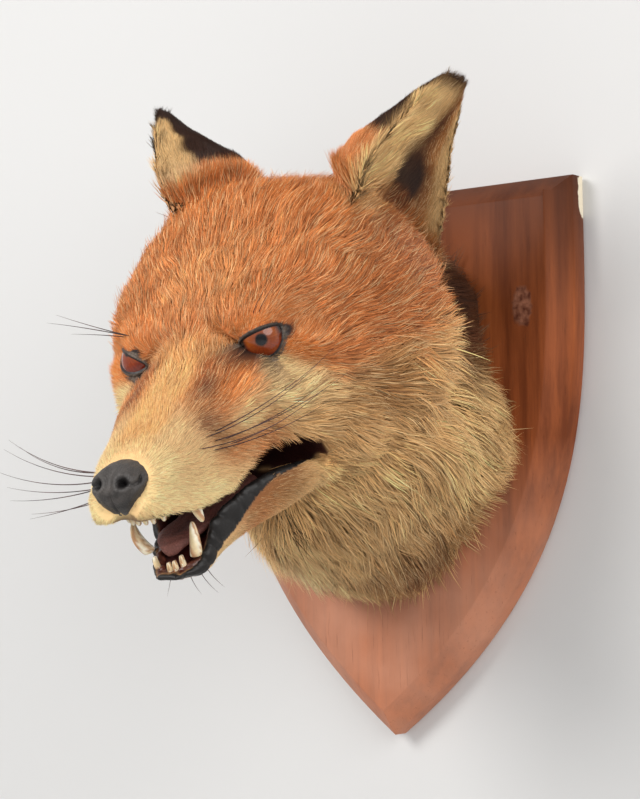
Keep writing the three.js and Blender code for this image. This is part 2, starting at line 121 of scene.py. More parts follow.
def spot(flu, place, reach):
    """1 at a place, falling softly to 0 at about twice its reach."""
    return np.exp(-(((flu - np.array(place)) / np.array(reach)) ** 2).sum(-1))


def both_sides(flu, place, reach):
    """The same spot on the left and on the right of the head."""
    mirror = np.array(place) * np.array([1, -1, 1])
    return np.maximum(spot(flu, place, reach), spot(flu, mirror, reach))


def ripples(points, size, seed, waves=7):
    """A smooth random field between about -1 and 1, with bumps of the given size in metres."""
    rng = np.random.default_rng(seed)
    ways = unit(rng.normal(size=(waves, 3))) * (2 * math.pi / size) * rng.uniform(0.6, 1.5, (waves, 1))
    return np.sin(points @ ways.T + rng.uniform(0, 6.28, waves)).sum(-1) / math.sqrt(waves / 2) / 1.6


print("head axes ready")

# %% [markdown]
# ## Camera, light and room
# The head hangs on a pale wall and is seen from its left front, a little from below the crown. One
# large soft lamp stands to the left of the camera, a weaker one fills the shadows, and the sky is a
# plain pale grey. The wall shows only from its front, so that the back of the board can be looked at
# too, and a third lamp lights that side.

# %% camera
CAMERA_PLACE = Vector((0.5557, -0.7941, -0.0337))
CAMERA_YAW, CAMERA_PITCH, CAMERA_ROLL = 37.3, 3.87, -0.66
CAMERA_LENS, CAMERA_SENSOR = 91.33, 36
camera = bpy.data.objects.new("camera", bpy.data.cameras.new("camera"))
camera.data.lens = CAMERA_LENS
camera.data.sensor_width = CAMERA_SENSOR
camera.matrix_world = (
    Matrix.Translation(CAMERA_PLACE)
    @ Matrix.Rotation(math.radians(CAMERA_YAW), 4, "Z")
    @ Matrix.Rotation(math.radians(90 + CAMERA_PITCH), 4, "X")
    @ Matrix.Rotation(math.radians(CAMERA_ROLL), 4, "Z")
)
bpy.context.scene.collection.objects.link(camera)
bpy.context.scene.camera = camera
bpy.context.scene.view_settings.view_transform = "Standard"
bpy.context.scene.view_settings.look = "None"
print("camera at", tuple(CAMERA_PLACE))

# %% lamps and sky
# name, place, what it points at, width across in metres, power in watts, colour
LAMPS = [
    ("key_lamp", (-0.55, -1.45, 0.75), (0, -0.1, 0), 0.8, 19, (1.0, 0.98, 0.95)),
    ("fill_lamp", (1.3, -0.9, 0.45), (0, -0.1, 0), 1.2, 12, (1.0, 0.99, 0.97)),
    ("back_lamp", (0.5, 1.2, 0.6), (0, 0, 0), 1.0, 8, (1.0, 1.0, 1.0)),
]
SKY_COLOR, SKY_STRENGTH = (0.92, 0.92, 0.92, 1), 0.56


def lamp(name, place, aim, size, power, color):
    light = bpy.data.lights.new(name, "AREA")
    light.shape = "DISK"
    light.size, light.energy, light.color = size, power, color
    made = bpy.data.objects.new(name, light)
    made.location = place
    made.rotation_euler = (Vector(aim) - Vector(place)).to_track_quat("-Z", "Y").to_euler()
    bpy.context.scene.collection.objects.link(made)


for row in LAMPS:
    lamp(*row)
world = bpy.data.worlds.new("sky")
world.use_nodes = True
sky = world.node_tree.nodes["Background"]
sky.inputs["Color"].default_value = SKY_COLOR
sky.inputs["Strength"].default_value = SKY_STRENGTH
bpy.context.scene.world = world
print("lamps:", len(LAMPS))

# %% small helpers for nodes
def new_material(name, roughness, specular=0.5):
    material = bpy.data.materials.new(name)
    material.use_nodes = True
    shader = material.node_tree.nodes["Principled BSDF"]
    feed(shader, {"Roughness": roughness, "Specular IOR Level": specular})
    return material, shader


def feed(made, sockets):
    """Sets a node's sockets, each to a plain value or to the output of another node."""
    for socket, value in sockets.items():
        if isinstance(value, bpy.types.NodeSocket):
            made.id_data.links.new(value, made.inputs[socket])
        else:
            made.inputs[socket].default_value = value


def node(holder, kind, sockets=None, **settings):
    """A new node in a material or a group, with its settings and its sockets."""
    made = getattr(holder, "node_tree", holder).nodes.new(kind)
    for key, value in settings.items():
        setattr(made, key, value)
    feed(made, sockets or {})
    return made

# %% small helpers for pieces
def piece(name, mesh, material, slot, *stands_for):
    """Names a finished mesh, dresses it, and lets it ride on the part in place of its solids."""
    made = bpy.data.objects.new(name, mesh)
    bpy.context.scene.collection.objects.link(made)
    mesh.materials.clear()
    mesh.materials.append(material)
    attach(made, "root")
    if stands_for:
        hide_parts(*stands_for)
    return made


def plain_mesh(bm, name):
    mesh = bpy.data.meshes.new(name)
    bm.to_mesh(mesh)
    bm.free()
    return mesh


def mesh_of(bm, name):
    """A smooth mesh with its faces turned outwards."""
    bmesh.ops.recalc_face_normals(bm, faces=bm.faces)
    mesh = plain_mesh(bm, name)
    mesh.shade_smooth()
    return mesh

# %% wall and floor
ROOM_HALF, WALL_LIFT, WALL_BEHIND = 3.0, 2.1, 0.0015
FLOOR_DEEP, ROOM_CURVE, CURVE_STEPS = 4.0, 0.4, 12
FOOT_LEVEL = -0.8  # only the foot of the wall lies lower
WALL_GREY = (0.66, 0.66, 0.66, 1)


def room_mesh():
    """A wall that runs into the floor in a soft curve."""
    bm = bmesh.new()
    bmesh.ops.create_grid(bm, x_segments=1, y_segments=1, size=ROOM_HALF)
    bmesh.ops.rotate(bm, verts=bm.verts, matrix=Matrix.Rotation(math.radians(90), 3, "X"))
    bmesh.ops.translate(bm, verts=bm.verts, vec=(0, WALL_BEHIND, WALL_LIFT))
    foot = [e for e in bm.edges if all(v.co.z < FOOT_LEVEL for v in e.verts)]
    grown = bmesh.ops.extrude_edge_only(bm, edges=foot)["geom"]
    floor_end = [v for v in grown if isinstance(v, bmesh.types.BMVert)]
    bmesh.ops.translate(bm, verts=floor_end, vec=(0, -FLOOR_DEEP, 0))
    corner = [e for e in bm.edges if all(v.co.z < FOOT_LEVEL and v.co.y > -0.1 for v in e.verts)]
    bmesh.ops.bevel(bm, geom=corner, offset=ROOM_CURVE, segments=CURVE_STEPS, affect="EDGES", profile=0.5,
                    material=-1)
    mesh = plain_mesh(bm, "room")
    mesh.shade_smooth()
    return mesh


def wall_paint():
    """Matt paint in front, and nothing at all from behind."""
    material, shader = new_material("pale_wall", roughness=0.95, specular=0.1)
    feed(shader, {"Base Color": WALL_GREY})
    clear = node(material, "ShaderNodeBsdfTransparent").outputs[0]
    behind = node(material, "ShaderNodeNewGeometry").outputs["Backfacing"]
    mix = node(material, "ShaderNodeMixShader", {0: behind, 1: shader.outputs[0], 2: clear})
    feed(material.node_tree.nodes["Material Output"], {0: mix.outputs[0]})
    return material


def room():
    mesh = room_mesh()
    mesh.materials.append(wall_paint())
    made = bpy.data.objects.new("room", mesh)
    bpy.context.scene.collection.objects.link(made)
    made.visible_shadow = False
    return made


backdrop = room()
print("wall faces", tuple(round(c, 2) for c in backdrop.data.polygons[0].normal))

# %% [markdown]
# ## The board
# A shield board is sawn from one plank. Its top is straight, its sides fall square from the shoulders
# and then sweep in to a point, and its front edge is cut off at a slant all round. One curve with four
# handles gives each side. The board is built in rings from back to front, each an inset of that
# outline, because an inset keeps the corners sharp. Small steps ease every arris, as sandpaper does.

# %% the board's shape
BOARD_HEIGHT, BOARD_WIDTH, BOARD_THICK = 254.0, 203.2, 19.05
BOARD_SLANT, SHOULDER_DROP, POINT_FLARE, POINT_RISE = 9.5, 94.0, 9.0, 83.0
EASED = 0.8
SIDE_STEPS = 40
SHARP_ANGLE = 28


def board_outline():
    half, top = BOARD_WIDTH / 2, BOARD_HEIGHT / 2
    shoulder, flare = [half, top - SHOULDER_DROP], [half + POINT_FLARE, POINT_RISE - top]
    handles = np.array([[half, top], shoulder, flare, [0, -top]])
    t = np.linspace(0, 1, SIDE_STEPS + 1)[:, None]
    weights = np.hstack([(1 - t) ** 3, 3 * t * (1 - t) ** 2, 3 * t * t * (1 - t), t**3])
    side = weights @ handles
    other = side[:-1][::-1] * [-1, 1]
    return np.vstack([side, other])


def split_many_sided(bm):
    bmesh.ops.triangulate(bm, faces=[f for f in bm.faces if len(f.verts) > 4])


def inset(ring, amount):
    """The outline moved inwards by an amount, with its corners kept sharp."""
    edge = np.roll(ring, -1, axis=0) - ring
    side = unit(np.stack([edge[:, 1], -edge[:, 0]], 1))
    side *= np.sign((side * (ring + edge / 2)).sum(1).sum())
    before = np.roll(side, 1, axis=0)
    corner = (side + before) / (1 + (side * before).sum(1, keepdims=True))
    return ring - corner * amount


def board_mesh():
    """Rings from back to front, each an inset of the outline at its own depth."""
    ring = board_outline()
    slant_from, half_eased = BOARD_THICK - BOARD_SLANT, EASED / 2
    steps = [
        (EASED, 0),
        (0, EASED),
        (0, slant_from - half_eased),
        (half_eased, slant_from + half_eased),
        (BOARD_SLANT - half_eased, BOARD_THICK - half_eased),
        (BOARD_SLANT + half_eased, BOARD_THICK),
    ]
    bm = bmesh.new()
    rings = []
    for amount, deep in steps:
        rings.append([bm.verts.new((x * MM, -deep * MM, z * MM)) for x, z in inset(ring, amount)])
    for low, high in zip(rings[:-1], rings[1:]):
        for k, after in enumerate(np.roll(range(len(ring)), -1)):
            bm.faces.new((low[k], low[after], high[after], high[k]))
    bm.faces.new(rings[0])
    bm.faces.new(rings[-1])
    split_many_sided(bm)
    mesh = mesh_of(bm, "board")
    mesh.set_sharp_from_angle(angle=math.radians(SHARP_ANGLE))
    return mesh


print("board outline:", len(board_outline()), "points")

# %% [markdown]
# ## Reddish hardwood
# The board is plain-sawn hardwood, stained red-brown and varnished. Its grain runs from top to bottom:
# long soft bands and fine dark pores. Towards the top it is darker, and towards the point a paler sheen
# of the varnish is painted in patches, with dust that dulls the gloss. A filled knot stands near the
# upper right. A picture of wood would have to be wrapped round the edges, so the pattern is worked
# out instead from where each point lies on the board, and runs through it as real grain does.

# %% colours and patterns
def srgb(r, g, b):
    """A colour as a painter reads it, 0 to 255, in the light values that shaders use."""
    c = np.array([r, g, b], float) / 255
    return np.where(c <= 0.04045, c / 12.92, ((c + 0.055) / 1.055) ** 2.4)


def opaque(r, g, b):
    """The same colour for a socket that wants four values."""
    return (*srgb(r, g, b), 1)


def object_place(holder):
    """Where each point of a piece lies, in metres in the board's axes."""
    return node(holder, "ShaderNodeTexCoord").outputs["Object"]


def noise(holder, place, scale, detail, roughness=0.5):
    sockets = {"Vector": place, "Scale": scale, "Detail": detail, "Roughness": roughness}
    return node(holder, "ShaderNodeTexNoise", sockets).outputs[0]


def ranged(holder, value, low, high, new_low=0.0, new_high=1.0):
    """A value carried over from low..high to new_low..new_high, and held between them."""
    sockets = {"Value": value, "From Min": low, "From Max": high, "To Min": new_low, "To Max": new_high}
    return node(holder, "ShaderNodeMapRange", sockets).outputs[0]


def worked_out(holder, operation, *values, **settings):
    """The result of one step of arithmetic."""
    return node(holder, "ShaderNodeMath", dict(enumerate(values)), operation=operation, **settings).outputs[0]


def blended(holder, share, under, over):
    """One colour laid over another by a share."""
    sockets = {"Factor": share, "A": under, "B": over}
    return node(holder, "ShaderNodeMix", sockets, data_type="RGBA").outputs["Result"]


def ramp(holder, value, stops):
    """Colours that pass into each other along a value from 0 to 1."""
    made = node(holder, "ShaderNodeValToRGB", {0: value})
    ladder = made.color_ramp
    while len(ladder.elements) < len(stops):
        ladder.elements.new(0.5)
    for step, (at, color) in zip(ladder.elements, stops):
        step.position = at
        step.color = color
    return made.outputs[0]


def bumped(holder, height, strength, distance, **settings):
    sockets = {"Height": height, "Strength": strength, "Distance": distance}
    return node(holder, "ShaderNodeBump", sockets, **settings).outputs[0]


print("white is", opaque(255, 255, 255)[:3])

# %% wood grain
KNOT_PLACE, KNOT_STRETCH = (0.0798, -0.019, 0.0686), (210, 30, 118)
KNOT_COLORS = [(0.34, (0.10, 0.028, 0.014, 1)), (0.68, (0.32, 0.13, 0.075, 1))]
CHIP_PLACE, CHIP_STRETCH = (0.1020, -0.001, 0.1190), (250, 260, 95)
CHIP_COLOR = (0.78, 0.69, 0.52, 1)
# the colour the board darkens to towards the top, and the colour of the pores
DARK_AT_TOP, PORE_COLOR = (0.05, 0.012, 0.003, 1), (0.045, 0.014, 0.007, 1)
BAND_STRETCH, PORE_STRETCH = (1.0, 1.0, 0.075), (1.0, 1.0, 0.05)


def drawn_out(holder, place, scale):
    return node(holder, "ShaderNodeMapping", {"Vector": place, "Scale": scale}).outputs[0]


def oval_gap(holder, place, middle, stretch):
    """How far each point lies from the middle of an oval: 1 on an oval of 1 / stretch metres."""
    away = node(holder, "ShaderNodeVectorMath", {0: place, 1: middle}, operation="SUBTRACT").outputs[0]
    oval = node(holder, "ShaderNodeVectorMath", {0: away, 1: stretch}, operation="MULTIPLY").outputs[0]
    return node(holder, "ShaderNodeVectorMath", {0: oval}, operation="LENGTH").outputs["Value"]


def wood_group():
    group = bpy.data.node_groups.new("stained_grain", "ShaderNodeTree")
    for label in ("Dark", "Middle", "Light"):
        group.interface.new_socket(label, in_out="INPUT", socket_type="NodeSocketColor")
    for label, kind in (("Color", "Color"), ("Roughness", "Float"), ("Height", "Float")):
        group.interface.new_socket(label, in_out="OUTPUT", socket_type="NodeSocket" + kind)
    stain = node(group, "NodeGroupInput").outputs
    place = object_place(group)
    # long bands, narrow ones on broad ones
    along_grain = drawn_out(group, place, BAND_STRETCH)
    bands = noise(group, along_grain, scale=150.0, detail=5.0, roughness=0.62)
    tone = worked_out(group, "ADD", bands, noise(group, along_grain, scale=26.0, detail=2.0))
    color = blended(group, ranged(group, tone, 0.78, 1.22), stain["Dark"], stain["Middle"])
    # paler in patches towards the point: a painted sheen of the varnish, with dust
    up = node(group, "ShaderNodeSeparateXYZ", {0: place}).outputs["Z"]
    sheen_and_dust_noise = noise(group, place, scale=22.0, detail=5.0)
    sheen_and_dust_share = worked_out(group, "MULTIPLY", ranged(group, up, 0.01, -0.06), sheen_and_dust_noise, use_clamp=True)
    sheen_and_dust_share = worked_out(group, "MULTIPLY", sheen_and_dust_share, 1.2, use_clamp=True)
    color = blended(group, sheen_and_dust_share, color, stain["Light"])
    # darker towards the top, and the stain deepest in the pores
    color = blended(group, ranged(group, up, 0.045, 0.125, 0.0, 0.85), color, DARK_AT_TOP)
    pores = noise(group, drawn_out(group, place, PORE_STRETCH), scale=900.0, detail=3.0, roughness=0.7)
    pit = ranged(group, pores, 0.60, 0.72)
    color = blended(group, worked_out(group, "MULTIPLY", pit, 0.28), color, PORE_COLOR)
    # the knot, rough and reddish, and a chip of bare pale wood at the upper back corner
    rough = noise(group, place, scale=320.0, detail=4.0)
    knot_gap = oval_gap(group, place, KNOT_PLACE, KNOT_STRETCH)
    knot = ranged(group, worked_out(group, "MULTIPLY_ADD", rough, 0.9, knot_gap), 1.62, 1.40)
    color = blended(group, knot, color, ramp(group, rough, KNOT_COLORS))
    chip_gap = oval_gap(group, place, CHIP_PLACE, CHIP_STRETCH)
    chip = ranged(group, worked_out(group, "MULTIPLY_ADD", rough, 0.8, chip_gap), 1.5, 1.35)
    # the knot is dull and stands up, and the pores lie low
    gloss = ranged(group, sheen_and_dust_noise, 0.0, 1.0, 0.46, 0.66)
    relief = worked_out(group, "MULTIPLY_ADD", pit, -0.6, bands)
    knot_relief = worked_out(group, "MULTIPLY", knot, rough)
    node(group, "NodeGroupOutput", {
        "Color": blended(group, chip, color, CHIP_COLOR),
        "Roughness": worked_out(group, "MULTIPLY_ADD", knot, 0.4, gloss),
        "Height": worked_out(group, "MULTIPLY_ADD", knot_relief, 3.0, relief),
    })
    return group


def wood_material(name, group, nostril_shade, middle, light):
    material, shader = new_material(name, roughness=0.55, specular=0.14)
    stains = {"Dark": opaque(*nostril_shade), "Middle": opaque(*middle), "Light": opaque(*light)}
    grain = node(material, "ShaderNodeGroup", stains, node_tree=group).outputs
    feed(shader, {
        "Base Color": grain["Color"],
        "Roughness": grain["Roughness"],
        "Normal": bumped(material, grain["Height"], strength=0.25, distance=0.0004),
        "Coat Weight": 0.04,
        "Coat Roughness": 0.3,
    })
    return material


# the stain's dark and middle colours, and the pale colour of the painted sheen
STAIN_DARK, STAIN_MIDDLE, PALE_SHEEN = (112, 55, 27), (174, 94, 50), (206, 150, 124)
stained_grain = wood_group()
board_wood = wood_material("varnished_hardwood", stained_grain, STAIN_DARK, STAIN_MIDDLE, PALE_SHEEN)
board = piece("board", board_mesh(), board_wood, "stained_wood", "plaque")
print("board:", len(board.data.polygons), "faces")

# %% [markdown]
# ## One skin
# A mount is one tanned skin drawn over a form, so head, jaw, ears and neck become one mesh. It could
# be modelled afresh, but then it would drift from the solids. So copies of the solids are swollen a
# hair to close the gaps between them, joined, and remeshed into even squares. The eyes and the nose
# pad go in too, so that the skin runs on behind them.

# %% join and remesh the flesh
FLESH = ("head", "neck", "lower_jaw", "ear_left", "ear_right")
CLOSE_THE_GAPS = 0.28 * MM
VOXEL = 1.5 * MM
WELD = 1e-6


def solid_copy(name, swell):
    bm = bmesh.new()
    bm.from_mesh(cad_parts[name].data)
    bmesh.ops.remove_doubles(bm, verts=bm.verts, dist=WELD)
    bm.normal_update()
    for v in bm.verts:
        v.co += v.normal * swell
    return bm


def evaluated(form):
    """The mesh of an object with its modifiers or curve settings worked out; the object is let go."""
    mesh = bpy.data.meshes.new_from_object(form.evaluated_get(bpy.context.evaluated_depsgraph_get()))
    bpy.data.objects.remove(form)
    return mesh


def remeshed(mesh, voxel):
    form = bpy.data.objects.new("form", mesh)
    bpy.context.scene.collection.objects.link(form)
    even = form.modifiers.new("even", "REMESH")
    even.mode, even.voxel_size = "VOXEL", voxel
    return evaluated(form)


def remeshed_flesh():
    whole = bmesh.new()
    trees = {}
    for name in (*FLESH, "eye_left", "eye_right", "nose"):
        part = solid_copy(name, CLOSE_THE_GAPS)
        if name in FLESH:
            trees[name] = BVHTree.FromBMesh(part)
        spare = plain_mesh(part, "spare")
        whole.from_mesh(spare)
        bpy.data.meshes.remove(spare)
    return remeshed(plain_mesh(whole, "flesh"), VOXEL), trees


skin_mesh, solid_trees = remeshed_flesh()
print("even skin:", len(skin_mesh.polygons), "faces", round(time.time() - started, 1), "s")

# %% [markdown]
# ## Finer where it matters
# Lids, lips and the edge of the nose need smaller faces than the cheeks do. The squares there are cut
# in four, and once more close to the eyes, and the whole is smoothed a little. To cut all of the skin
# so fine would make it many times as heavy, and the coat hides most of it.

# %% places on the face
EYES = {"left": np.array([-4.0, 28.0, 0.0]), "right": np.array([-1.5, -31.0, -4.0])}
EYE_RADIUS = 10.0
NOSE = np.array([74.2, 0.0, -31.8])
# (forward, up) or (forward, half the width) at landmarks along the head
LIP_LINE = profile((81, -43.5), (75, -45.2), (66, -47.5), (56, -50), (46, -50.5), (39, -49.8), (34, -46.5),
                   (27, -41.5), (18, -38.5), (12, -39.5), (0, -46.5), (-9, -53), (-14, -57))
JAW_TOP = profile((65, -73.5), (58, -71.5), (54, -68.5), (50, -62), (46, -55.5), (42, -52.3), (36, -51),
                  (30, -48.5), (20, -46.8), (10, -47.5), (0, -49.5), (-12, -54.5), (-22, -60))
HEAD_HALF = profile((81, 12.5), (77, 16.5), (66, 20), (52, 23), (36, 28), (22, 35), (10, 43), (0, 50),
                    (-12, 56), (-30, 63), (-55, 70), (-75, 71), (-92, 62), (-104, 46))
JAW_HALF = profile((65, 4), (61, 8.5), (54, 13), (44, 17), (34, 22), (24, 27.5), (12, 34), (0, 39),
                   (-12, 41), (-22, 34))
FUR_EDGE_BELOW = profile((-14, -53.6), (-4, -53), (10, -52.4), (20, -53), (28, -57), (34, -62), (38, -65.4),
                         (45, -69.6), (50, -74), (55, -77.6), (65, -79.5))
CORNER_TOP = profile((14, -37.5), (8, -41.5), (4, -45), (0, -47.3), (-4, -49.4), (-8, -51.2), (-13, -53))
CORNER_F, CORNER_L = -6.5, 43.0
MOUTH_FRONT, MOUTH_BACK, MOUTH_HALF = 79, -15, 39
print("mouth", MOUTH_FRONT - CORNER_F, "mm long")

# %% subdivide round eyes and lips
def to_eyes(flu):
    """Distance to the middle of the nearer eye."""
    return np.minimum(*(np.linalg.norm(flu - EYES[s], axis=1) for s in EYES))


def near_lips(flu):
    f, l, u = flu.T
    low = np.minimum(FUR_EDGE_BELOW(f), JAW_TOP(f)) - 2
    return (f > -16) & (f < 82) & (u < LIP_LINE(f) + 5) & (u > low) & (np.abs(l) > 0.6 * JAW_HALF(f))


def soften(bm, rounds):
    axes = {"use_axis_x": True, "use_axis_y": True, "use_axis_z": True}
    for _ in range(rounds):
        bmesh.ops.smooth_vert(bm, verts=bm.verts, factor=0.5, **axes)


def cut_finer(bm, wanted):
    """Cuts in four every face whose middle is wanted."""
    mids = to_head(np.array([f.calc_center_median() for f in bm.faces]))
    edges = {e for f, near in zip(bm.faces, wanted(mids)) if near for e in f.edges}
    bmesh.ops.subdivide_edges(bm, edges=list(edges), cuts=1, use_grid_fill=True)


sculpt = bmesh.new()
sculpt.from_mesh(skin_mesh)
soften(sculpt, 1)
cut_finer(sculpt, lambda flu: (to_eyes(flu) < 19) | near_lips(flu))
cut_finer(sculpt, lambda flu: to_eyes(flu) < 14)
soften(sculpt, 3)
split_many_sided(sculpt)
sculpt.to_mesh(skin_mesh)
sculpt.free()
print("finer skin:", len(skin_mesh.polygons), "faces", round(time.time() - started, 1), "s")

# %% [markdown]
# ## Which part is which
# Every point of the skin learns how much it belongs to head, neck, jaw and ears, from how near each
# solid lies, and whether it is furred, lip or lining of the mouth. These shares steer everything
# that follows: how deep the coat is, which way it lies, how long it grows and what colour it has.

# %% shares
BLEND_REACH = 5 * MM


def coords(mesh):
    flat = np.empty(len(mesh.vertices) * 3, np.float32)
    mesh.vertices.foreach_get("co", flat)
    return flat.reshape(-1, 3).astype(float)


def normals(mesh):
    flat = np.empty(len(mesh.vertices) * 3, np.float32)
    mesh.vertices.foreach_get("normal", flat)
    return flat.reshape(-1, 3).astype(float)


def shares(points):
    """For each part, its share of every point and its distance in metres."""
    near = np.empty((len(points), len(FLESH)))
    for k, name in enumerate(FLESH):
        find = solid_trees[name].find_nearest
        near[:, k] = [find(p)[3] for p in points.tolist()]
    weight = np.exp(-((near / BLEND_REACH) ** 2)) + 1e-12
    weight /= weight.sum(1, keepdims=True)
    return dict(zip(FLESH, weight.T)), dict(zip(FLESH, near.T))


outer = coords(skin_mesh)
outer_normal = normals(skin_mesh)
outer_flu = to_head(outer)
share, reach_to = shares(outer)
ear_share = share["ear_left"] + share["ear_right"]
print("shares:", {name: round(float(part.mean()), 3) for name, part in share.items()})

# %% fur, lip and lining
f, l, u = outer_flu.T
side = np.abs(l)
lip, jaw_top, head_half, jaw_half = LIP_LINE(f), JAW_TOP(f), HEAD_HALF(f), JAW_HALF(f)
out_way = outer_normal @ HEAD_TURN
out_up = out_way[:, 2]
jaw_near, head_near, neck_near = (reach_to[name] for name in ("lower_jaw", "head", "neck"))
on_jaw = (jaw_near < head_near) & (jaw_near < neck_near)
on_head = (head_near <= jaw_near) & (head_near < neck_near + 2 * MM)
before_corner = (f > CORNER_F) & (side < CORNER_L + 0.6 * (f - CORNER_F))
in_mouth = before_corner | (side < MOUTH_HALF)
palate = on_head & in_mouth & (f > MOUTH_BACK) & (f < MOUTH_FRONT) & (out_up < 0.35)
palate &= (u < lip + 16) & (side < 0.875 * head_half) & ((u > lip + 0.3) | (side < 0.80 * head_half))
floor_of_mouth = on_jaw & in_mouth & (f > -21) & (f < 63) & (out_up > -0.5)
floor_of_mouth &= (side < 0.86 * jaw_half) & (u > jaw_top - 20) & (u < jaw_top + 3)
back_wall = ~on_jaw & (f > -14) & (f < 0) & (side < 37) & (u > -54) & (u < -36) & (-out_way[:, 1] > 0.2)
rim_top = lip + 1.4 + 0.9 * smoothstep(60, 68, f)
upper_rim = on_head & before_corner & (f < MOUTH_FRONT) & (u < rim_top) & (out_up < 0.2) & ~palate
lower_band = on_jaw & before_corner & (u > FUR_EDGE_BELOW(f)) & ~floor_of_mouth
corner_band = on_head & before_corner & (f < 12) & (u < CORNER_TOP(f)) & (u > -56)
corner_band &= side > 0.62 * head_half
print("lining", int(palate.sum() + floor_of_mouth.sum()), "lips", int(upper_rim.sum() + lower_band.sum()))

# %% soft edges between them
pairs = np.empty(len(skin_mesh.edges) * 2, np.int32)
skin_mesh.edges.foreach_get("vertices", pairs)
edge_a, edge_b = pairs.reshape(-1, 2).T
neighbours = np.bincount(pairs, minlength=len(outer))


def spread(mask, rounds):
    """Values on the skin's points, softened over their neighbours."""
    value = mask.astype(float)
    for _ in range(rounds):
        total = np.bincount(edge_a, value[edge_b], len(value))
        total += np.bincount(edge_b, value[edge_a], len(value))
        value = 0.5 * value + 0.5 * total / neighbours
    return value


lining = spread(palate | floor_of_mouth | back_wall, 2)
lips = spread(upper_rim | lower_band | corner_band, 2)
lips *= 1 - lining * (1 - spread(corner_band, 3))
bare = np.clip(lining + lips, 0, 1)
print("bare points:", int((bare > 0.5).sum()))

# %% [markdown]
# ## The depth of the coat
# The solids reach to the tips of the hair. The skin lies deeper: hardly a millimetre under the velvet
# of the ears and the lips, three or four on the brow, and over ten in the ruff of the neck.

# %% depth of the coat in millimetres
DEPTH_MUZZLE, DEPTH_NECK, DEPTH_EARS = 1.7, 11.0, 1.1


def coat_depth(flu):
    f, l, u = flu.T
    head = 3.6 + 1.6 * smoothstep(0, -40, f) * smoothstep(10, 35, u)
    head += 4.5 * smoothstep(-8, -45, f) * smoothstep(5, -30, u)
    head = mixed(head, DEPTH_MUZZLE, smoothstep(14, 40, f))
    head += 1.5 * smoothstep(20, 5, f) * smoothstep(-12, -32, u) * smoothstep(25, 38, np.abs(l))
    jaw = 1.6 + 3.0 * smoothstep(10, -15, f)
    depth = share["head"] * head + share["neck"] * DEPTH_NECK + share["lower_jaw"] * jaw
    depth += ear_share * DEPTH_EARS
    depth *= 0.25 + 0.75 * smoothstep(2, 14, to_eyes(flu) - EYE_RADIUS)
    depth *= 0.35 + 0.65 * smoothstep(13, 20, np.linalg.norm(flu - NOSE, axis=1))
    return depth


def gap_to(mask, reach):
    """Distance in millimetres from every point of the skin to the nearest one under a mask, up to reach."""
    marked = np.flatnonzero(mask)
    tree = KDTree(len(marked))
    for k in marked.tolist():
        tree.insert(outer[k], k)
    tree.balance()
    gap = np.array([tree.find(p)[2] for p in outer.tolist()]) / MM
    return np.minimum(gap, reach)


lip_gap = gap_to(bare > 0.5, 20)
depth = coat_depth(outer_flu) * (1 - bare) * (0.10 + 0.90 * smoothstep(0, 11, lip_gap))
print("coat depth: mean", round(float(depth.mean()), 2), "mm, most", round(float(depth.max()), 1), "mm")

# %% sink the skin by that depth
NEAR_BOARD, AT_BOARD = -0.030, -0.0205  # between these the skin stops moving towards the board
IN_FRONT = -0.0193  # no point of the skin lies farther back
inward = -outer_normal.copy()
inward[:, 1] *= 1 - smoothstep(NEAR_BOARD, AT_BOARD, outer[:, 1])
skin_points = outer + inward * depth[:, None] * MM
skin_points[:, 1] = np.minimum(skin_points[:, 1], IN_FRONT)
print("skin reaches", round(float(-skin_points[:, 1].min() / MM), 1), "mm from the wall")

# %% ear axes
Ear = namedtuple("Ear", "root height rise across back half")


def ear_axes(tip, inner, outer_rim):
    """Root, height, the ways up, across from inner to outer rim and out of the back, and half the width."""
    tip, inner, outer_rim = (np.array(place, float) for place in (tip, inner, outer_rim))
    root = (inner + outer_rim) / 2
    rise = unit(tip - root)
    across = outer_rim - inner
    half = np.linalg.norm(across) / 2
    across = unit(across - rise * (across @ rise))
    back = np.cross(across, rise)
    if back[1] * root[1] > 0:
        back = -back
    return Ear(root, np.linalg.norm(tip - root), rise, across, back, half)


def in_ear(flu, name):
    """Share of the way up the ear, and where across it: -1 at the inner rim, 1 at the outer."""
    ear = EARS[name]
    up = (flu - ear.root) @ ear.rise / ear.height
    return up, (flu - ear.root) @ ear.across / (ear.half * np.clip(1 - up, 0.2, 1))


EARS = {
    "ear_left": ear_axes((-106, 88, 73), (-60, 52.5, 33), (-104, 62, 5)),
    "ear_right": ear_axes((-106, -63, 82), (-62, -41, 41), (-106, -50, 13)),
}
print("ears:", {name: round(float(ear.height)) for name, ear in EARS.items()}, "mm tall")

# %% [markdown]
# ## Lids
# A taxidermist sets a glass ball in clay and draws the lids over it. Round each ball the skin is
# shaped by its direction from the ball's middle: within the almond between the lids it passes behind
# the glass, at the almond's edge it turns into a thin lid, and further out it runs up to brow and cheek.

# %% shape the lids
GAZE = {"left": (0.872, 0.484, 0.02), "right": (0.85, -0.5, 0.0)}
CORNER_LINE = {"left": (-0.42, 0.89, 0.18), "right": (-0.42, -0.89, 0.18)}
# in millimetres on the ball from the gaze: inner and outer corner, and how far the opening rises and drops
LIDS = {
    "left": {"inner": (-12.4, 1.2), "outer": (10.0, 1.6), "above": 2.7, "below": 9.8},
    "right": {"inner": (-11.2, 2.0), "outer": (9.0, 3.8), "above": 3.3, "below": 4.0},
}
EYE_REACH = 29.0  # lids shape nothing that lies farther from the middle of the ball
LID_AXES = {}
for name in EYES:
    gaze = unit(np.array(GAZE[name]))
    corner = np.array(CORNER_LINE[name])
    corner = unit(corner - gaze * (corner @ gaze))
    LID_AXES[name] = (gaze, corner, unit(np.cross(gaze, corner)) * (1 if name == "left" else -1))


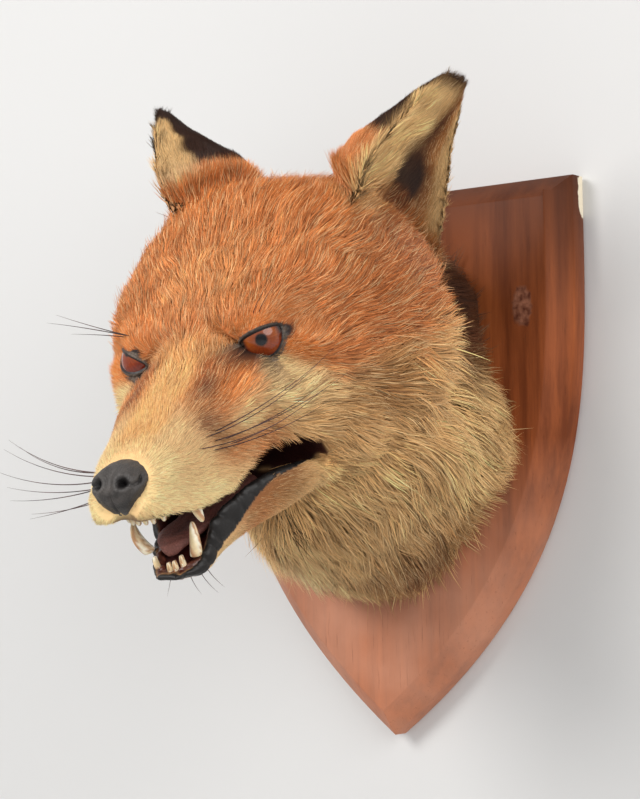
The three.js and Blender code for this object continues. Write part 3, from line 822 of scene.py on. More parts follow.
def on_the_ball(flu, name):
    """Arcs from the gaze along the corners and up the lids, and the distance from the ball's middle."""
    away = flu - EYES[name]
    gaze, corner, lid = LID_AXES[name]
    far = np.maximum(np.linalg.norm(away, axis=-1), 1e-6)
    along, up = away @ corner, away @ lid
    turn = np.arccos(np.clip((away @ gaze) / far, -1, 1)) * EYE_RADIUS
    across = np.maximum(np.hypot(along, up), 1e-6)
    return along / across * turn, up / across * turn, far


def almond_gap(along, up, name):
    """How far outside the opening a direction is, in millimetres on the ball; under 0 between the lids."""
    lids = LIDS[name]
    (inner_along, inner_up), (outer_along, outer_up) = lids["inner"], lids["outer"]
    share_along = (along - inner_along) / (outer_along - inner_along)
    chord = inner_up + (outer_up - inner_up) * share_along
    arch = np.clip(1 - (2 * share_along - 1) ** 2, 0, 1) ** 0.62
    level = np.maximum(up - chord - lids["above"] * arch, chord - up - lids["below"] * arch)
    beyond = np.maximum(inner_along - along, along - outer_along)
    return np.where(beyond > 0, np.hypot(beyond, np.maximum(level, 0)), level)


def shape_lids(points):
    flu = to_head(points)
    for name in EYES:
        along, up, far = on_the_ball(flu, name)
        gap = almond_gap(along, up, name)
        lid = EYE_RADIUS + 0.2 + 0.35 * smoothstep(0, 0.6, gap) + 0.2 * np.exp(-(((gap - 0.9) / 0.6) ** 2))
        lid += 0.12 * ripples(points, 0.0022, seed=17) * smoothstep(0.2, 1.2, gap)
        fold = 0.35 * np.exp(-(((gap - 2.1) / 0.5) ** 2))
        target = np.where(gap < 0, EYE_RADIUS - 1.1 + 1.3 * smoothstep(-0.8, 0, gap), lid - fold)
        hold = 1 - smoothstep(1.6, 6.5 + 3.0 * smoothstep(12, 20, far), gap)
        moved = EYES[name] + (flu - EYES[name]) * (mixed(far, target, hold) / far)[:, None]
        flu = np.where(((far < EYE_REACH) & (hold > 0))[:, None], moved, flu)
    return from_head(flu)


def round_ear_tips(points):
    """The solid ears end in a point; the leather under the fur is cut broad and round there."""
    flu = to_head(points)
    for name, ear in EARS.items():
        off = flu - ear.root
        up = off @ ear.rise / ear.height
        over = (off - off @ ear.rise[:, None] * ear.rise) @ ear.across
        wider = 4.6 * smoothstep(0.5, 0.9, up) * np.tanh(over / 0.9) * share[name]
        at_tip = smoothstep(0.9, 1.0, up)
        lower = at_tip * smoothstep(0.8, 3.0, np.abs(over) + 2.2 * at_tip) * share[name]
        flu = flu + ear.across * wider[:, None] - ear.rise * lower[:, None]
    return from_head(flu)


skin_points = round_ear_tips(shape_lids(skin_points))
eye_gap = np.full(len(skin_points), 99.0)
for name in EYES:
    along, up, far = on_the_ball(to_head(skin_points), name)
    eye_gap = np.where(far < EYE_REACH, np.minimum(eye_gap, almond_gap(along, up, name)), eye_gap)
print("lids shaped; points behind the glass:", int((eye_gap < 0).sum()))

# %% [markdown]
# ## Lips and their folds
# The black band along the lower jaw is bare painted lip. It hangs in shallow creases, deepest behind
# the lower canine tooth, so its surface is pushed in and out along slanting ridges. A bump in the
# paint alone would leave the lip's outline straight.

# %% crease the lips
FORWARD, UPWARD = np.array([1.0, 0.0, 0.0]), np.array([0.0, 0.0, 1.0])


def crease(points, normal_way):
    f, _, u = to_head(points).T
    slant = 0.62 * f - 0.55 * (u + 60) + 1.4 * ripples(points, 0.012, seed=5)
    ridges = np.abs(np.sin(slant * 0.62)) ** 0.8 - 0.5
    deep = (0.5 + 0.9 * np.exp(-(((f - 47) / 9) ** 2))) * lips * (f > -8)
    return points + normal_way * (ridges * deep * MM)[:, None]


def hang_lips(points):
    """The upper lips hang a little, but rise under the middle of the nose; the lower right lip sags."""
    flu = to_head(points)
    f, l, u = flu.T
    edge = on_head * smoothstep(8, 0, u - LIP_LINE(f)) * smoothstep(26, 40, f) * (1 - palate)
    drop = 0.5 * edge + 1.9 * spot(flu, (70, -15, -45), (9, 7, 6)) * on_head * (1 - palate)
    drop -= 3.4 * spot(flu, (76, 2.5, -43), (10, 8, 5)) * on_head * (1 - palate)
    slack = np.exp(-(((f - 45) / 6.5) ** 2)) * smoothstep(-7, -11, l) * smoothstep(-73, -60, u)
    drop += 8.0 * slack * share["lower_jaw"]
    return points - turned(UPWARD) * (drop * MM)[:, None]


smooth_points = skin_points
skin_points = hang_lips(crease(smooth_points, outer_normal))
moved = np.linalg.norm(skin_points - smooth_points, axis=1).max() / MM
print("lips moved by up to", round(float(moved), 1), "mm")

# %% make room for the nose pad
PAD_PLACE = np.array([73.6, 0.0, -31.2])
PAD_LONG, PAD_HALF, PAD_RISE, PAD_DROP = 9.9, 12.3, 9.2, 11.9
PAD_WIDE = profile((-1, 0.66), (-0.6, 0.8), (-0.2, 0.94), (0.2, 1.03), (0.55, 1.04), (0.85, 0.99), (1, 0.92))


def set_coords(mesh, points):
    mesh.vertices.foreach_set("co", np.asarray(points, np.float32).ravel())
    mesh.update()


def pad_level(flu):
    """Under 1 inside the nose pad, 1 on its outline, more outside."""
    ahead, left, rise = (flu - PAD_PLACE).T
    ahead = ahead + 0.22 * np.maximum(rise, 0) + 0.10 * np.maximum(-rise, 0)
    rise = np.where(rise > 0, rise / PAD_RISE, rise / PAD_DROP)
    wide = PAD_HALF * PAD_WIDE(np.clip(rise, -1, 1))
    return np.sqrt(np.abs(ahead / PAD_LONG) ** 2.5 + np.abs(left / wide) ** 2.17 + rise**2)


level = pad_level(to_head(skin_points))
on_nose = smoothstep(62, 67, to_head(skin_points)[:, 0])
behind_pad = smoothstep(1.10, 0.96, level) * on_nose
beside_pad = smoothstep(1.5, 1.15, level) * on_nose
skin_points -= turned(FORWARD) * (behind_pad * 4.5 * MM)[:, None]
skin_points -= outer_normal * (beside_pad * 1.3 * MM)[:, None]
set_coords(skin_mesh, skin_points)
skin_mesh.shade_smooth()
skin_normal = normals(skin_mesh)
print("skin box", skin_points.min(0).round(4), skin_points.max(0).round(4))

# %% [markdown]
# ## Markings
# The fox is rust-orange on brow and crown, straw-yellow along the bridge, cream on the lips and the
# cheeks, with a brown streak from the inner corner of each eye to the whiskers. The throat is buff.
# The ears are black-brown behind, and buff and tawny inside, with painted shade deep in the hollow.
# Each marking of the face, and the painted shade on the jowl and above the lip, is a named patch with a
# place and a reach on the head, painted one over the other, because that is how a finisher lays them on.
# Skin and coat both read the same colours.

# %% named colours of the coat
RUST = srgb(202, 120, 67)
DEEP_RUST = srgb(184, 103, 50)
STRAW = srgb(244, 174, 108)
CREAM = srgb(250, 210, 150)
BUFF = srgb(236, 188, 126)
SHADED_BUFF = srgb(150, 104, 60)
FLAME = srgb(240, 134, 64)
SEAL_BROWN = srgb(124, 75, 51)
DARK_BROWN = srgb(58, 33, 21)
UMBER = srgb(104, 62, 37)
SOOT = srgb(38, 33, 33)
PALE_THROAT = srgb(246, 200, 146)
EAR_BASE = srgb(206, 162, 116)
JAW_TAN = srgb(148, 97, 58)
TAWNY = srgb(176, 112, 62)
LINING = srgb(64, 22, 18)
LIP_BLACK = srgb(28, 25, 24)
TEAR_GREY = srgb(76, 68, 62)
LID_GREY = srgb(96, 84, 74)

# %% named patches: colour, strength, place on the head and reach, the same on both sides
CROWN = {
    "ear root": (UMBER, 0.45, (-70, 58, 26), (22, 14, 16)),
    "temple": (UMBER, 0.32, (-50, 60, 10), (28, 14, 22)),
    "forehead": (STRAW, 0.30, (-8, 8, 22), (22, 9, 12)),
}
CHEEKS = {
    # painted shade: the jowl is laid on in a shaded buff
    "jowl": (SHADED_BUFF, 1.0, (-26, 60, -34), (32, 20, 14)),
    "back of the cheek": (DEEP_RUST, 0.8, (-30, 62, 2), (22, 20, 13)),
    "cheek": (RUST, 0.7, (-12, 56, -12), (16, 14, 8)),
    "outer eye": (FLAME, 0.9, (6, 48, -6), (13, 13, 8)),
    "brow": (FLAME, 0.75, (12, 34, 9), (10, 12, 6)),
    "before the eye": (FLAME, 0.45, (25, 30, -12), (12, 9, 7)),
    "under the eye": (CREAM, 0.95, (16, 40, -19), (11, 12, 5.5)),
    "cheekbone": (CREAM, 0.75, (5, 46, -25), (15, 12, 6)),
}
STREAK = {
    "beside the bridge": (SEAL_BROWN, 0.95, (32, 17, -8), (11, 5.5, 7)),
    "down to the whiskers": (SEAL_BROWN, 0.85, (43, 22, -19), (8, 5, 6.5)),
    "inner eye": (SEAL_BROWN, 0.8, (17, 11, 0), (9, 5, 6)),
    "whisker bed": (UMBER, 0.6, (40, 25, -28), (6, 4, 6)),
    "behind the streak": (CREAM, 0.8, (30, 31, -24), (8, 7, 5)),
}
LIP_SHADE = {"above the lip": (SEAL_BROWN, 0.45, (19, 33, -33), (8, 9, 5))}
# on the neck the places are in millimetres in the board's axes, and on one side only
NECK_SHADOW = ((42, -48, -46), (36, 32, 28))
THROAT = ((-26, -86, -46), (26, 42, 28))
FRONT_SHADOW = ((50, -80, -30), (16, 20, 22))
EAR_SHADOW = ((68, -46, 78), (19, 24, 19))
print("patches:", sum(len(patches) for patches in (CROWN, CHEEKS, STREAK, LIP_SHADE)))

# %% colour of the ears
def dark_behind(name, up, across, facing, medial):
    """How dark the back of the ear is at each height, and how much of each point counts as the back."""
    behind = smoothstep(-0.25, 0.25, facing)
    if name == "ear_left":
        return smoothstep(0.42, 0.52, up), behind
    fold = -1.45 - 0.5 * smoothstep(0.2, 0.55, up) - 0.15 * smoothstep(0.55, 0.85, up)
    past_fold = np.where(across < -0.9, smoothstep(-0.1, 0.1, across - fold), 1)
    return smoothstep(0.26, 0.36, up), np.maximum(behind, smoothstep(-0.1, 0.3, medial)) * past_fold


def ear_colors(name, up, across, facing, medial):
    dark_back, behind = dark_behind(name, up, across, facing, medial)
    up, across, behind = up[:, None], across[:, None], behind[:, None]
    back = mixed(RUST, DARK_BROWN * 0.7, dark_back[:, None])
    # the right ear's inside is a darker copy of the same buff: painted shade
    inside = mixed(BUFF * (0.92 if name == "ear_left" else 0.78), TAWNY, smoothstep(-0.1, 0.45, across))
    inside = mixed(inside, BUFF * 0.8, smoothstep(0.68, 0.9, across))
    # painted shade: near black deep in the hollow of the ear
    hollow_shade = np.exp(-(((across - 0.24) / 0.42) ** 2) - ((up - 0.24) / 0.25) ** 2)
    inside = mixed(inside, SOOT, np.minimum(1.5 * hollow_shade, 0.96))
    streak = np.exp(-(((across - 0.5 * up) / 0.3) ** 2) - ((up - 0.62) / 0.28) ** 2)
    inside = mixed(inside, UMBER * 0.6, streak)
    if name == "ear_right":
        inside = mixed(inside, EAR_BASE, smoothstep(0.4, 0.2, up))
    inside = mixed(inside, DARK_BROWN, 0.9 * smoothstep(0.80, 0.94, up))
    return mixed(inside, back, behind)

# %% colour of the whole coat
def tear_patch(flu):
    """Shares of bare grey skin and of black skin at the corners of the eyes."""
    grey = spot(flu, (8.2, 18.4, -2.0), (4.8, 4.4, 4.8))
    grey = np.maximum(grey, spot(flu, (9.2, -30.0, -8.4), (4.0, 6.0, 2.8)))
    black = spot(flu, (-3.2, 39.4, 1.0), (4.4, 3.0, 3.8))
    black = np.maximum(black, spot(flu, (7.0, -28.4, 1.2), (3, 4.2, 2.4)))
    return smoothstep(0.28, 0.6, grey), smoothstep(0.28, 0.6, black)


def coat_colors(flu, world, facing, medial):
    """The colour of the coat over the points of the skin."""
    f, l, u = flu.T
    color = np.tile(RUST, (len(flu), 1))

    def over(paint_color, weight):
        color[:] += (paint_color - color) * np.clip(weight, 0, 1)[:, None]

    def over_all(patches):
        for paint_color, strength, place, reach in patches.values():
            over(paint_color, strength * both_sides(flu, place, reach))

    over(DEEP_RUST, 0.85 * smoothstep(-25, -60, f))
    over_all(CROWN)
    over(BUFF, 0.8 * smoothstep(-14, -34, u) * smoothstep(30, 10, f))
    over_all(CHEEKS)
    over(CREAM, 0.7 * smoothstep(34, 52, f))
    over(CREAM, 0.8 * smoothstep(24, 40, f) * smoothstep(16, 4, u - LIP_LINE(f)))
    over_all(STREAK)
    over(STRAW, smoothstep(6, 24, f) * smoothstep(13, 6, np.abs(l)) * smoothstep(90, 50, f))
    over(CREAM, 0.8 * smoothstep(56, 72, f))
    over_all(LIP_SHADE)
    over(TEAR_GREY, 0.9 * grey_corner)
    over(SOOT, 0.95 * black_corner)
    over(TEAR_GREY * 0.6, 0.9 * smoothstep(2.0, 1.0, eye_gap))
    jaw = share["lower_jaw"]
    over(JAW_TAN, jaw * smoothstep(-80, -50, u))
    over(BUFF, jaw * smoothstep(14, -8, f))
    neck = share["neck"]
    world_mm = world / MM
    height = world_mm[:, 2]
    over(BUFF, neck)
    # random patches of painted shade over the buff of the neck
    over(SHADED_BUFF, neck * (0.3 + 0.3 * ripples(world, 0.04, seed=21)))
    over(UMBER, 0.95 * neck * spot(world_mm, *NECK_SHADOW))
    over(PALE_THROAT, neck * spot(world_mm, *THROAT))
    over(UMBER, 0.45 * neck * spot(world_mm, *FRONT_SHADOW))
    # high on the neck: dark fur, deepened with painted shade
    over(UMBER, neck * smoothstep(36, 50, height))
    over(DARK_BROWN, 0.6 * neck * smoothstep(40, 60, height) * (0.6 + 0.4 * ripples(world, 0.02, seed=23)))
    for name in EARS:
        up, across = in_ear(flu, name)
        ear = ear_colors(name, up, across, facing[name], medial)
        color[:] += (ear - color) * (share[name] * smoothstep(-0.12, 0.02, up))[:, None]
    over(DARK_BROWN, 0.9 * spot(world_mm, *EAR_SHADOW))
    return np.clip(color * (1 + 0.07 * ripples(world, 0.016, seed=3))[:, None], 0.004, 0.95)


skin_flu = to_head(skin_points)
grey_corner, black_corner = tear_patch(skin_flu)
out_flu = np.stack([-out_way[:, 1], out_way[:, 0], out_way[:, 2]], 1)
facing = {name: spread(out_flu @ ear.back, 4) for name, ear in EARS.items()}
medial = spread(-out_flu @ EARS["ear_right"].across, 3)
coat_tint = coat_colors(outer_flu, outer, facing, medial)
print("markings painted on", len(coat_tint), "points")

# %% skin colour and finish
def paint(mesh, name, colors):
    """Stores one colour for each vertex."""
    layer = mesh.color_attributes.new(name=name, type="FLOAT_COLOR", domain="POINT")
    full = np.ones((len(mesh.vertices), 4), np.float32)
    full[:, :3] = colors
    layer.data.foreach_set("color", full.ravel())


skin_tint = coat_tint * 0.9
lining_noise = (1 + 0.25 * ripples(skin_points, 0.006, seed=8))[:, None]
red_lining = lining * (1 - 0.45 * smoothstep(6, -8, outer_flu[:, 0]))
lining_tint = LINING * lining_noise * red_lining[:, None] + LIP_BLACK * (lining - red_lining)[:, None]
skin_tint = skin_tint * (1 - lining[:, None]) + lining_tint
skin_tint = mixed(skin_tint, LIP_BLACK, smoothstep(0.25, 0.55, lips)[:, None])
tears = np.maximum(grey_corner, black_corner)[:, None]
mottle = (1 + 0.35 * ripples(skin_points, 0.0016, seed=9))[:, None]
tear_tint = TEAR_GREY * grey_corner[:, None] + SOOT * black_corner[:, None]
skin_tint = mixed(skin_tint, tear_tint * mottle, tears)
lower_lid = smoothstep(0.5, -1.5, skin_flu[:, 2] - 3.0)[:, None]
lid_rim = smoothstep(1.9, 1.1, eye_gap - 1.5 * lower_lid[:, 0])[:, None]
lid_line = smoothstep(0.7, 0.3, eye_gap)[:, None]
skin_tint = mixed(skin_tint, LID_GREY * mottle * (0.35 + 0.65 * lower_lid), lid_rim)
skin_tint = mixed(skin_tint, SOOT * 0.7, lid_line)
paint(skin_mesh, "tint", np.clip(skin_tint, 0, 1))
wet = np.clip(lips + lining + 0.8 * lid_rim[:, 0] + 0.4 * tears[:, 0], 0, 1)
paint(skin_mesh, "wet", np.repeat(wet[:, None], 3, 1))
print("wettest on", int((wet > 0.5).sum()), "points")

# %% skin material
def painted(holder, name):
    """A colour that is stored on the points of the mesh."""
    return node(holder, "ShaderNodeAttribute", attribute_name=name).outputs["Color"]


def skin_material():
    material, shader = new_material("painted_skin", roughness=0.8, specular=0.35)
    wet_share = node(material, "ShaderNodeAttribute", attribute_name="wet").outputs["Fac"]
    fine = noise(material, object_place(material), scale=900.0, detail=3.0)
    feed(shader, {
        "Base Color": painted(material, "tint"),
        "Roughness": ranged(material, wet_share, 0.0, 1.0, 0.85, 0.42),
        "Normal": bumped(material, fine, strength=0.5, distance=0.0004),
    })
    return material


skin = piece("skin", skin_mesh, skin_material(), "fur", *FLESH)
print("skin dressed", round(time.time() - started, 1), "s")

# %% [markdown]
# ## Unwrapping the skin
# A flat map of the skin gives every tuft a place to keep its colour when the model is exported. The
# editor's smart unwrap cuts the skin where it turns and lays the patches side by side.

# %% unwrap
def unwrap(made):
    made.data.uv_layers.new(name="OFBake")
    bpy.context.view_layer.objects.active = made
    made.select_set(True)
    bpy.ops.object.mode_set(mode="EDIT")
    bpy.ops.mesh.select_all(action="SELECT")
    bpy.ops.uv.smart_project(angle_limit=math.radians(66), island_margin=0.002)
    bpy.ops.object.mode_set(mode="OBJECT")
    made.select_set(False)


unwrap(skin)
print("unwrapped", round(time.time() - started, 1), "s")

# %% [markdown]
# ## Glass eyes
# Each eye is a glass ball, painted behind: a small dark pupil, an orange-brown iris with fine streaks
# towards the pupil, redder below, and a dark ring at its rim. A clear coat on the shader gives the
# wet shine. Rings could be cut into the ball, but the real ones lie under the glass: so a map laid
# flat from the pupil tells the paint how far out each point is.

# %% the eyeballs
PUPIL_PLACE = {"left": (-0.3, 0.5), "right": (-1.0, 8.0)}  # along the corners and up the lids, from the gaze
BEHIND_LIDS = 0.05


def flat_map(mesh, plane):
    layer = mesh.uv_layers.new(name="gaze")
    corners = np.empty(len(mesh.loops), np.int32)
    mesh.loops.foreach_get("vertex_index", corners)
    layer.uv.foreach_set("vector", plane[corners].astype(np.float32).ravel())


def eyeball(name):
    bm = bmesh.new()
    bmesh.ops.create_uvsphere(bm, u_segments=48, v_segments=32, radius=1)
    mesh = mesh_of(bm, "eye_" + name)
    flu = EYES[name] + coords(mesh) * (EYE_RADIUS - BEHIND_LIDS)
    along, up, _ = on_the_ball(flu, name)
    set_coords(mesh, from_head(flu))
    flat_map(mesh, np.stack([along, up], 1) - PUPIL_PLACE[name])
    return mesh

# %% painted glass
# how far out from the pupil's middle, as a share of ten millimetres, and the colour there
IRIS_RINGS = [
    (0.0, opaque(6, 4, 9)),
    (0.25, opaque(8, 5, 10)),
    (0.285, opaque(84, 44, 28)),
    (0.34, opaque(132, 66, 38)),
    (0.46, opaque(140, 66, 27)),
    (0.70, opaque(152, 76, 27)),
    (0.84, opaque(108, 46, 18)),
    (0.94, opaque(40, 22, 16)),
    (1.0, opaque(22, 16, 14)),
]
IRIS_RED = opaque(128, 42, 16)


def brightened(holder, color, amount):
    sockets = {0: color, "Scale": amount}
    return node(holder, "ShaderNodeVectorMath", sockets, operation="SCALE").outputs[0]


def glass_eye():
    material, shader = new_material("painted_glass", roughness=0.12, specular=0.35)
    flat = node(material, "ShaderNodeUVMap", uv_map="gaze").outputs[0]
    far = node(material, "ShaderNodeVectorMath", {0: flat}, operation="LENGTH").outputs["Value"]
    way = node(material, "ShaderNodeVectorMath", {0: flat}, operation="NORMALIZE").outputs[0]
    # blotches push the rings a little in and out
    ragged = worked_out(material, "MULTIPLY_ADD", noise(material, flat, scale=0.35, detail=2.0), 0.7, far)
    rings = ramp(material, ranged(material, ragged, 0.0, 10.0), IRIS_RINGS)
    # redder below the pupil
    up = node(material, "ShaderNodeSeparateXYZ", {0: flat}).outputs["Y"]
    below = ranged(material, up, -0.5, -5.0, 0.0, 0.75)
    red_share = worked_out(material, "MULTIPLY", below, ranged(material, far, 2.5, 3.4))
    iris = blended(material, red_share, rings, IRIS_RED)
    streaks = ranged(material, noise(material, way, scale=9.0, detail=3.0), 0.0, 1.0, 0.55, 1.35)
    feed(shader, {
        "Base Color": brightened(material, iris, streaks),
        "Coat Weight": 0.5,
        "Coat Roughness": 0.12,
    })
    return material


glass = glass_eye()
for name in EYES:
    piece("glass_" + name, eyeball(name), glass, "eye_glass", "eye_" + name)
print("eyes set:", EYE_RADIUS * 2, "mm balls")

# %% [markdown]
# ## The nose pad
# The dried and blackened pad is broad above and narrow below. Each nostril is a pit with a slit that
# runs out and up round the wing, and a groove divides the pad down the middle. A sphere is pressed
# into that form, and a pebbled bump gives the fine leather of the skin.

# %% nose pad
NOSTRIL = np.array([80.9, 5.9, -27.2])
SLIT = np.array([
    [80.9, 6.2, -27.4], [79.4, 9.4, -29.0], [77.0, 11.2, -28.4], [74.6, 11.9, -26.0], [73.0, 11.4, -23.4],
])
PAD_BLACK, PIT_BLACK = srgb(66, 61, 58), srgb(16, 13, 14)


def gap_to_path(points, path):
    """Distance from each point to the nearest place on a path of straight stretches."""
    best = np.full(len(points), np.inf)
    for a, b in zip(path[:-1], path[1:]):
        t = np.clip(((points - a) @ (b - a)) / ((b - a) @ (b - a)), 0, 1)
        best = np.minimum(best, np.linalg.norm(points - a - t[:, None] * (b - a), axis=1))
    return best


def nose_pad():
    bm = bmesh.new()
    bmesh.ops.create_icosphere(bm, subdivisions=5, radius=1)
    front = {e for f in bm.faces if f.calc_center_median().x > 0.1 for e in f.edges}
    bmesh.ops.subdivide_edges(bm, edges=list(front), cuts=1, use_grid_fill=True)
    split_many_sided(bm)
    mesh = mesh_of(bm, "nose_pad")
    way = unit(coords(mesh))
    ahead, left, rise = way.T
    shaped = np.stack([
        PAD_LONG * np.sign(ahead) * np.abs(ahead) ** 0.8,
        PAD_HALF * PAD_WIDE(rise) * np.sign(left) * np.abs(left) ** 0.92,
        np.where(rise > 0, PAD_RISE, PAD_DROP) * np.sign(rise) * np.abs(rise) ** 0.92,
    ], 1)
    shaped[:, 0] -= 0.22 * np.maximum(shaped[:, 2], 0) + 0.10 * np.maximum(-shaped[:, 2], 0)
    flu = PAD_PLACE + shaped
    out = unit(shaped / np.array([PAD_LONG, PAD_HALF, PAD_RISE]) ** 2)
    side = flu * np.array([1, 0, 1]) + np.abs(flu) * np.array([0, 1, 0])
    pit = np.linalg.norm((side - NOSTRIL) / np.array([1.6, 1.05, 0.92]), axis=1)
    slit = gap_to_path(side, SLIT)
    middle = np.abs(flu[:, 1])
    fronting = smoothstep(0.0, 0.5, ahead)
    move = -3.2 * np.exp(-((pit / 1.75) ** 4)) - 1.5 * np.exp(-((slit / 0.75) ** 2))
    move += 0.6 * np.exp(-(((pit - 3.4) / 1.2) ** 2)) * fronting
    move -= 0.75 * np.exp(-((middle / 0.55) ** 2)) * smoothstep(-27, -31, flu[:, 2]) * fronting
    move -= 0.9 * np.exp(-((middle / 2.6) ** 2)) * smoothstep(-31, -25, flu[:, 2]) * fronting
    move += 0.12 * ripples(from_head(flu), 0.004, seed=41)
    set_coords(mesh, from_head(flu + out * move[:, None]))
    # painted shade: near black deep in the nostril pits and along the slits
    nostril_shade = np.clip(np.exp(-((pit / 2.5) ** 4)) + 0.7 * np.exp(-((slit / 1.0) ** 2)), 0, 1)[:, None]
    # paler and darker in patches, and darker towards the bottom of the pad
    pad_tone = 0.9 + 0.25 * ripples(from_head(flu), 0.007, seed=43) - 0.35 * smoothstep(-28, -38, flu[:, 2])
    pad_tone = pad_tone[:, None]
    paint(mesh, "tint", np.clip(mixed(PAD_BLACK * pad_tone, PIT_BLACK, nostril_shade), 0, 1))
    return mesh

# %% leather
FINE_DENTS = 0.6


def leather(name, rough, cell, depth_mm):
    """Fine pebbled skin: cells a given number of millimetres wide, the colour from the painted points."""
    material, shader = new_material(name, rough)
    place = object_place(material)
    sockets = {"Vector": place, "Scale": 1000.0 / cell}
    cells = node(material, "ShaderNodeTexVoronoi", sockets).outputs["Distance"]
    fine = noise(material, place, scale=2400.0 / cell, detail=3.0)
    pebbles = worked_out(material, "MULTIPLY_ADD", fine, FINE_DENTS, cells)
    # painted light and shade: paler on the tops of the pebbles, darker in the creases between them
    pebble_light_and_shade = ranged(material, cells, 0.0, 1.0, 1.2, 0.7)
    feed(shader, {
        "Base Color": brightened(material, painted(material, "tint"), pebble_light_and_shade),
        "Normal": bumped(material, pebbles, strength=0.55, distance=depth_mm * MM, invert=True),
    })
    return material


nose_leather = leather("nose_leather", rough=0.5, cell=0.75, depth_mm=0.35)
piece("nose_pad", nose_pad(), nose_leather, "nose_skin", "nose")
print("nose pad done", round(time.time() - started, 1), "s")

# %% [markdown]
# ## Teeth and gums
# The skull's own teeth are set in a mount of this age: ivory-yellow, brown at the root, blunt with
# wear. Every tooth is a sphere drawn out along its own bent axis, because a cone would have neither
# the belly nor the worn tip. The gums are soft rods that follow the two arches of the mouth.

# %% teeth
IVORY, IVORY_TIP, ROOT_BROWN = srgb(238, 214, 168), srgb(250, 240, 216), srgb(178, 112, 66)
# root, tip, radius, bend and how blunt the tip is, in millimetres on the head's axes
CANINES_ABOVE = [((53, 13.8, -43), (52.0, 15.4, -56.4), 2.5, (1.0, 0.5, 0), 0.75),
                 ((53, -13.8, -43), (52.0, -15.4, -56.4), 2.5, (1.0, -0.5, 0), 0.75)]
CANINES_BELOW = [((54.7, 9.4, -69.6), (54.3, 11.8, -55.0), 2.5, (1.0, 1.0, 0), 0.85),
                 ((55.9, -10.6, -66.6), (57.6, -13.8, -52.0), 2.6, (1.2, -1.6, 0), 0.6)]
SIDE_TEETH_ABOVE = [((44.5, s * 16, -43), (44.5, s * 16.6, -51.6), 2.2, (0, 0, 0), 0.6) for s in (1, -1)]
INCISORS_ABOVE = [((f, s * l, -41.5), (f + 0.4, s * l, -49.7), 1.75, (0.4, 0, 0), 0.9)
                  for s in (1, -1) for f, l in ((68.6, 1.8), (67.8, 5.0), (65.4, 8.3))]
INCISORS_BELOW = [((f, l, low), (f + 0.4, l, low + 5.4), 1.3, (0.3, 0, 0), 1.7)
                  for f, l, low in ((60.4, 0.0, -74.4), (59.9, 2.5, -74.0), (58.2, 5.2, -72.6),
                                    (59.0, -7.0, -72.2))]


def add_tooth(bm, root, tip, radius, bend, blunt):
    made = bmesh.ops.create_uvsphere(bm, u_segments=16, v_segments=14, radius=1)["verts"]
    root, tip, bend = (np.array(v, float) for v in (root, tip, bend))
    axis = unit(tip - root)
    ahead = unit(np.array([1.0, 0, 0]) - axis * axis[0])
    beside = np.cross(axis, ahead)
    for v in made:
        t = (v.co.z + 1) / 2
        slim = (1 - t**2.2) ** 0.8 * (1 - blunt * 0.35) + blunt * 0.35
        ball = math.sqrt(max(1 - v.co.z**2, 0))
        around = (np.array([v.co.x, v.co.y]) / ball) if ball > 1e-6 else np.zeros(2)
        close = min(1, ball * 2.2)
        place = root + (tip - root) * t + bend * (4 * t * (1 - t))
        place = place + (ahead * around[0] * 1.12 + beside * around[1] * 0.92) * radius * slim * close
        v.co = Vector(place)


def teeth(name, rows):
    bm = bmesh.new()
    along = []
    for tooth in rows:
        before = len(bm.verts)
        add_tooth(bm, *tooth)
        root, tip = np.array(tooth[0], float), np.array(tooth[1], float)
        bm.verts.ensure_lookup_table()
        for v in bm.verts[before:]:
            along.append((np.array(v.co) - root) @ (tip - root) / ((tip - root) @ (tip - root)))
    mesh = mesh_of(bm, name)
    flu = coords(mesh)
    along = np.array(along)[:, None]
    set_coords(mesh, from_head(flu))
    root_stain = 0.75 * smoothstep(0.45, 0.05, along + 0.12 * ripples(flu * MM, 0.006, seed=51)[:, None])
    color = mixed(mixed(IVORY, IVORY_TIP, smoothstep(0.55, 1.0, along)), ROOT_BROWN, root_stain)
    paint(mesh, "tint", np.clip(color * (1 + 0.08 * ripples(flu * MM, 0.003, seed=52))[:, None], 0, 1))
    return mesh


def enamel():
    """Old tooth: hair cracks darken it, and a little light goes in."""
    material, shader = new_material("old_enamel", roughness=0.42, specular=0.45)
    cracks = noise(material, object_place(material), scale=700.0, detail=4.0)
    tone = ranged(material, cracks, 0.0, 1.0, 0.74, 1.2)
    feed(shader, {
        "Base Color": brightened(material, painted(material, "tint"), tone),
        "Normal": bumped(material, cracks, strength=0.25, distance=0.0003),
        "Subsurface Weight": 0.12,
        "Subsurface Radius": (0.0012, 0.0008, 0.0005),
    })
    return material


ivory = enamel()
ABOVE = CANINES_ABOVE + SIDE_TEETH_ABOVE + INCISORS_ABOVE
BELOW = CANINES_BELOW + INCISORS_BELOW
piece("teeth_above", teeth("teeth_above", ABOVE), ivory, "tooth", "upper_teeth")
piece("teeth_below", teeth("teeth_below", BELOW), ivory, "tooth", "lower_teeth")
print("teeth:", len(ABOVE), "above,", len(BELOW), "below")

# %% round rods
def tube(name, places, radii, sides=12, steps=6):
    """A round rod of changing thickness through places given on the head's axes."""
    curve = bpy.data.curves.new(name, "CURVE")
    curve.dimensions, curve.bevel_depth, curve.bevel_resolution = "3D", MM, max(0, sides // 4 - 1)
    curve.use_fill_caps, curve.resolution_u = True, steps
    line = curve.splines.new("BEZIER")
    line.bezier_points.add(len(places) - 1)
    for point, place, radius in zip(line.bezier_points, from_head(np.array(places, float)), radii):
        point.co, point.radius = Vector(place), radius
        point.handle_left_type = point.handle_right_type = "AUTO"
    holder = bpy.data.objects.new(name, curve)
    bpy.context.scene.collection.objects.link(holder)
    mesh = evaluated(holder)
    bpy.data.curves.remove(curve)
    return mesh

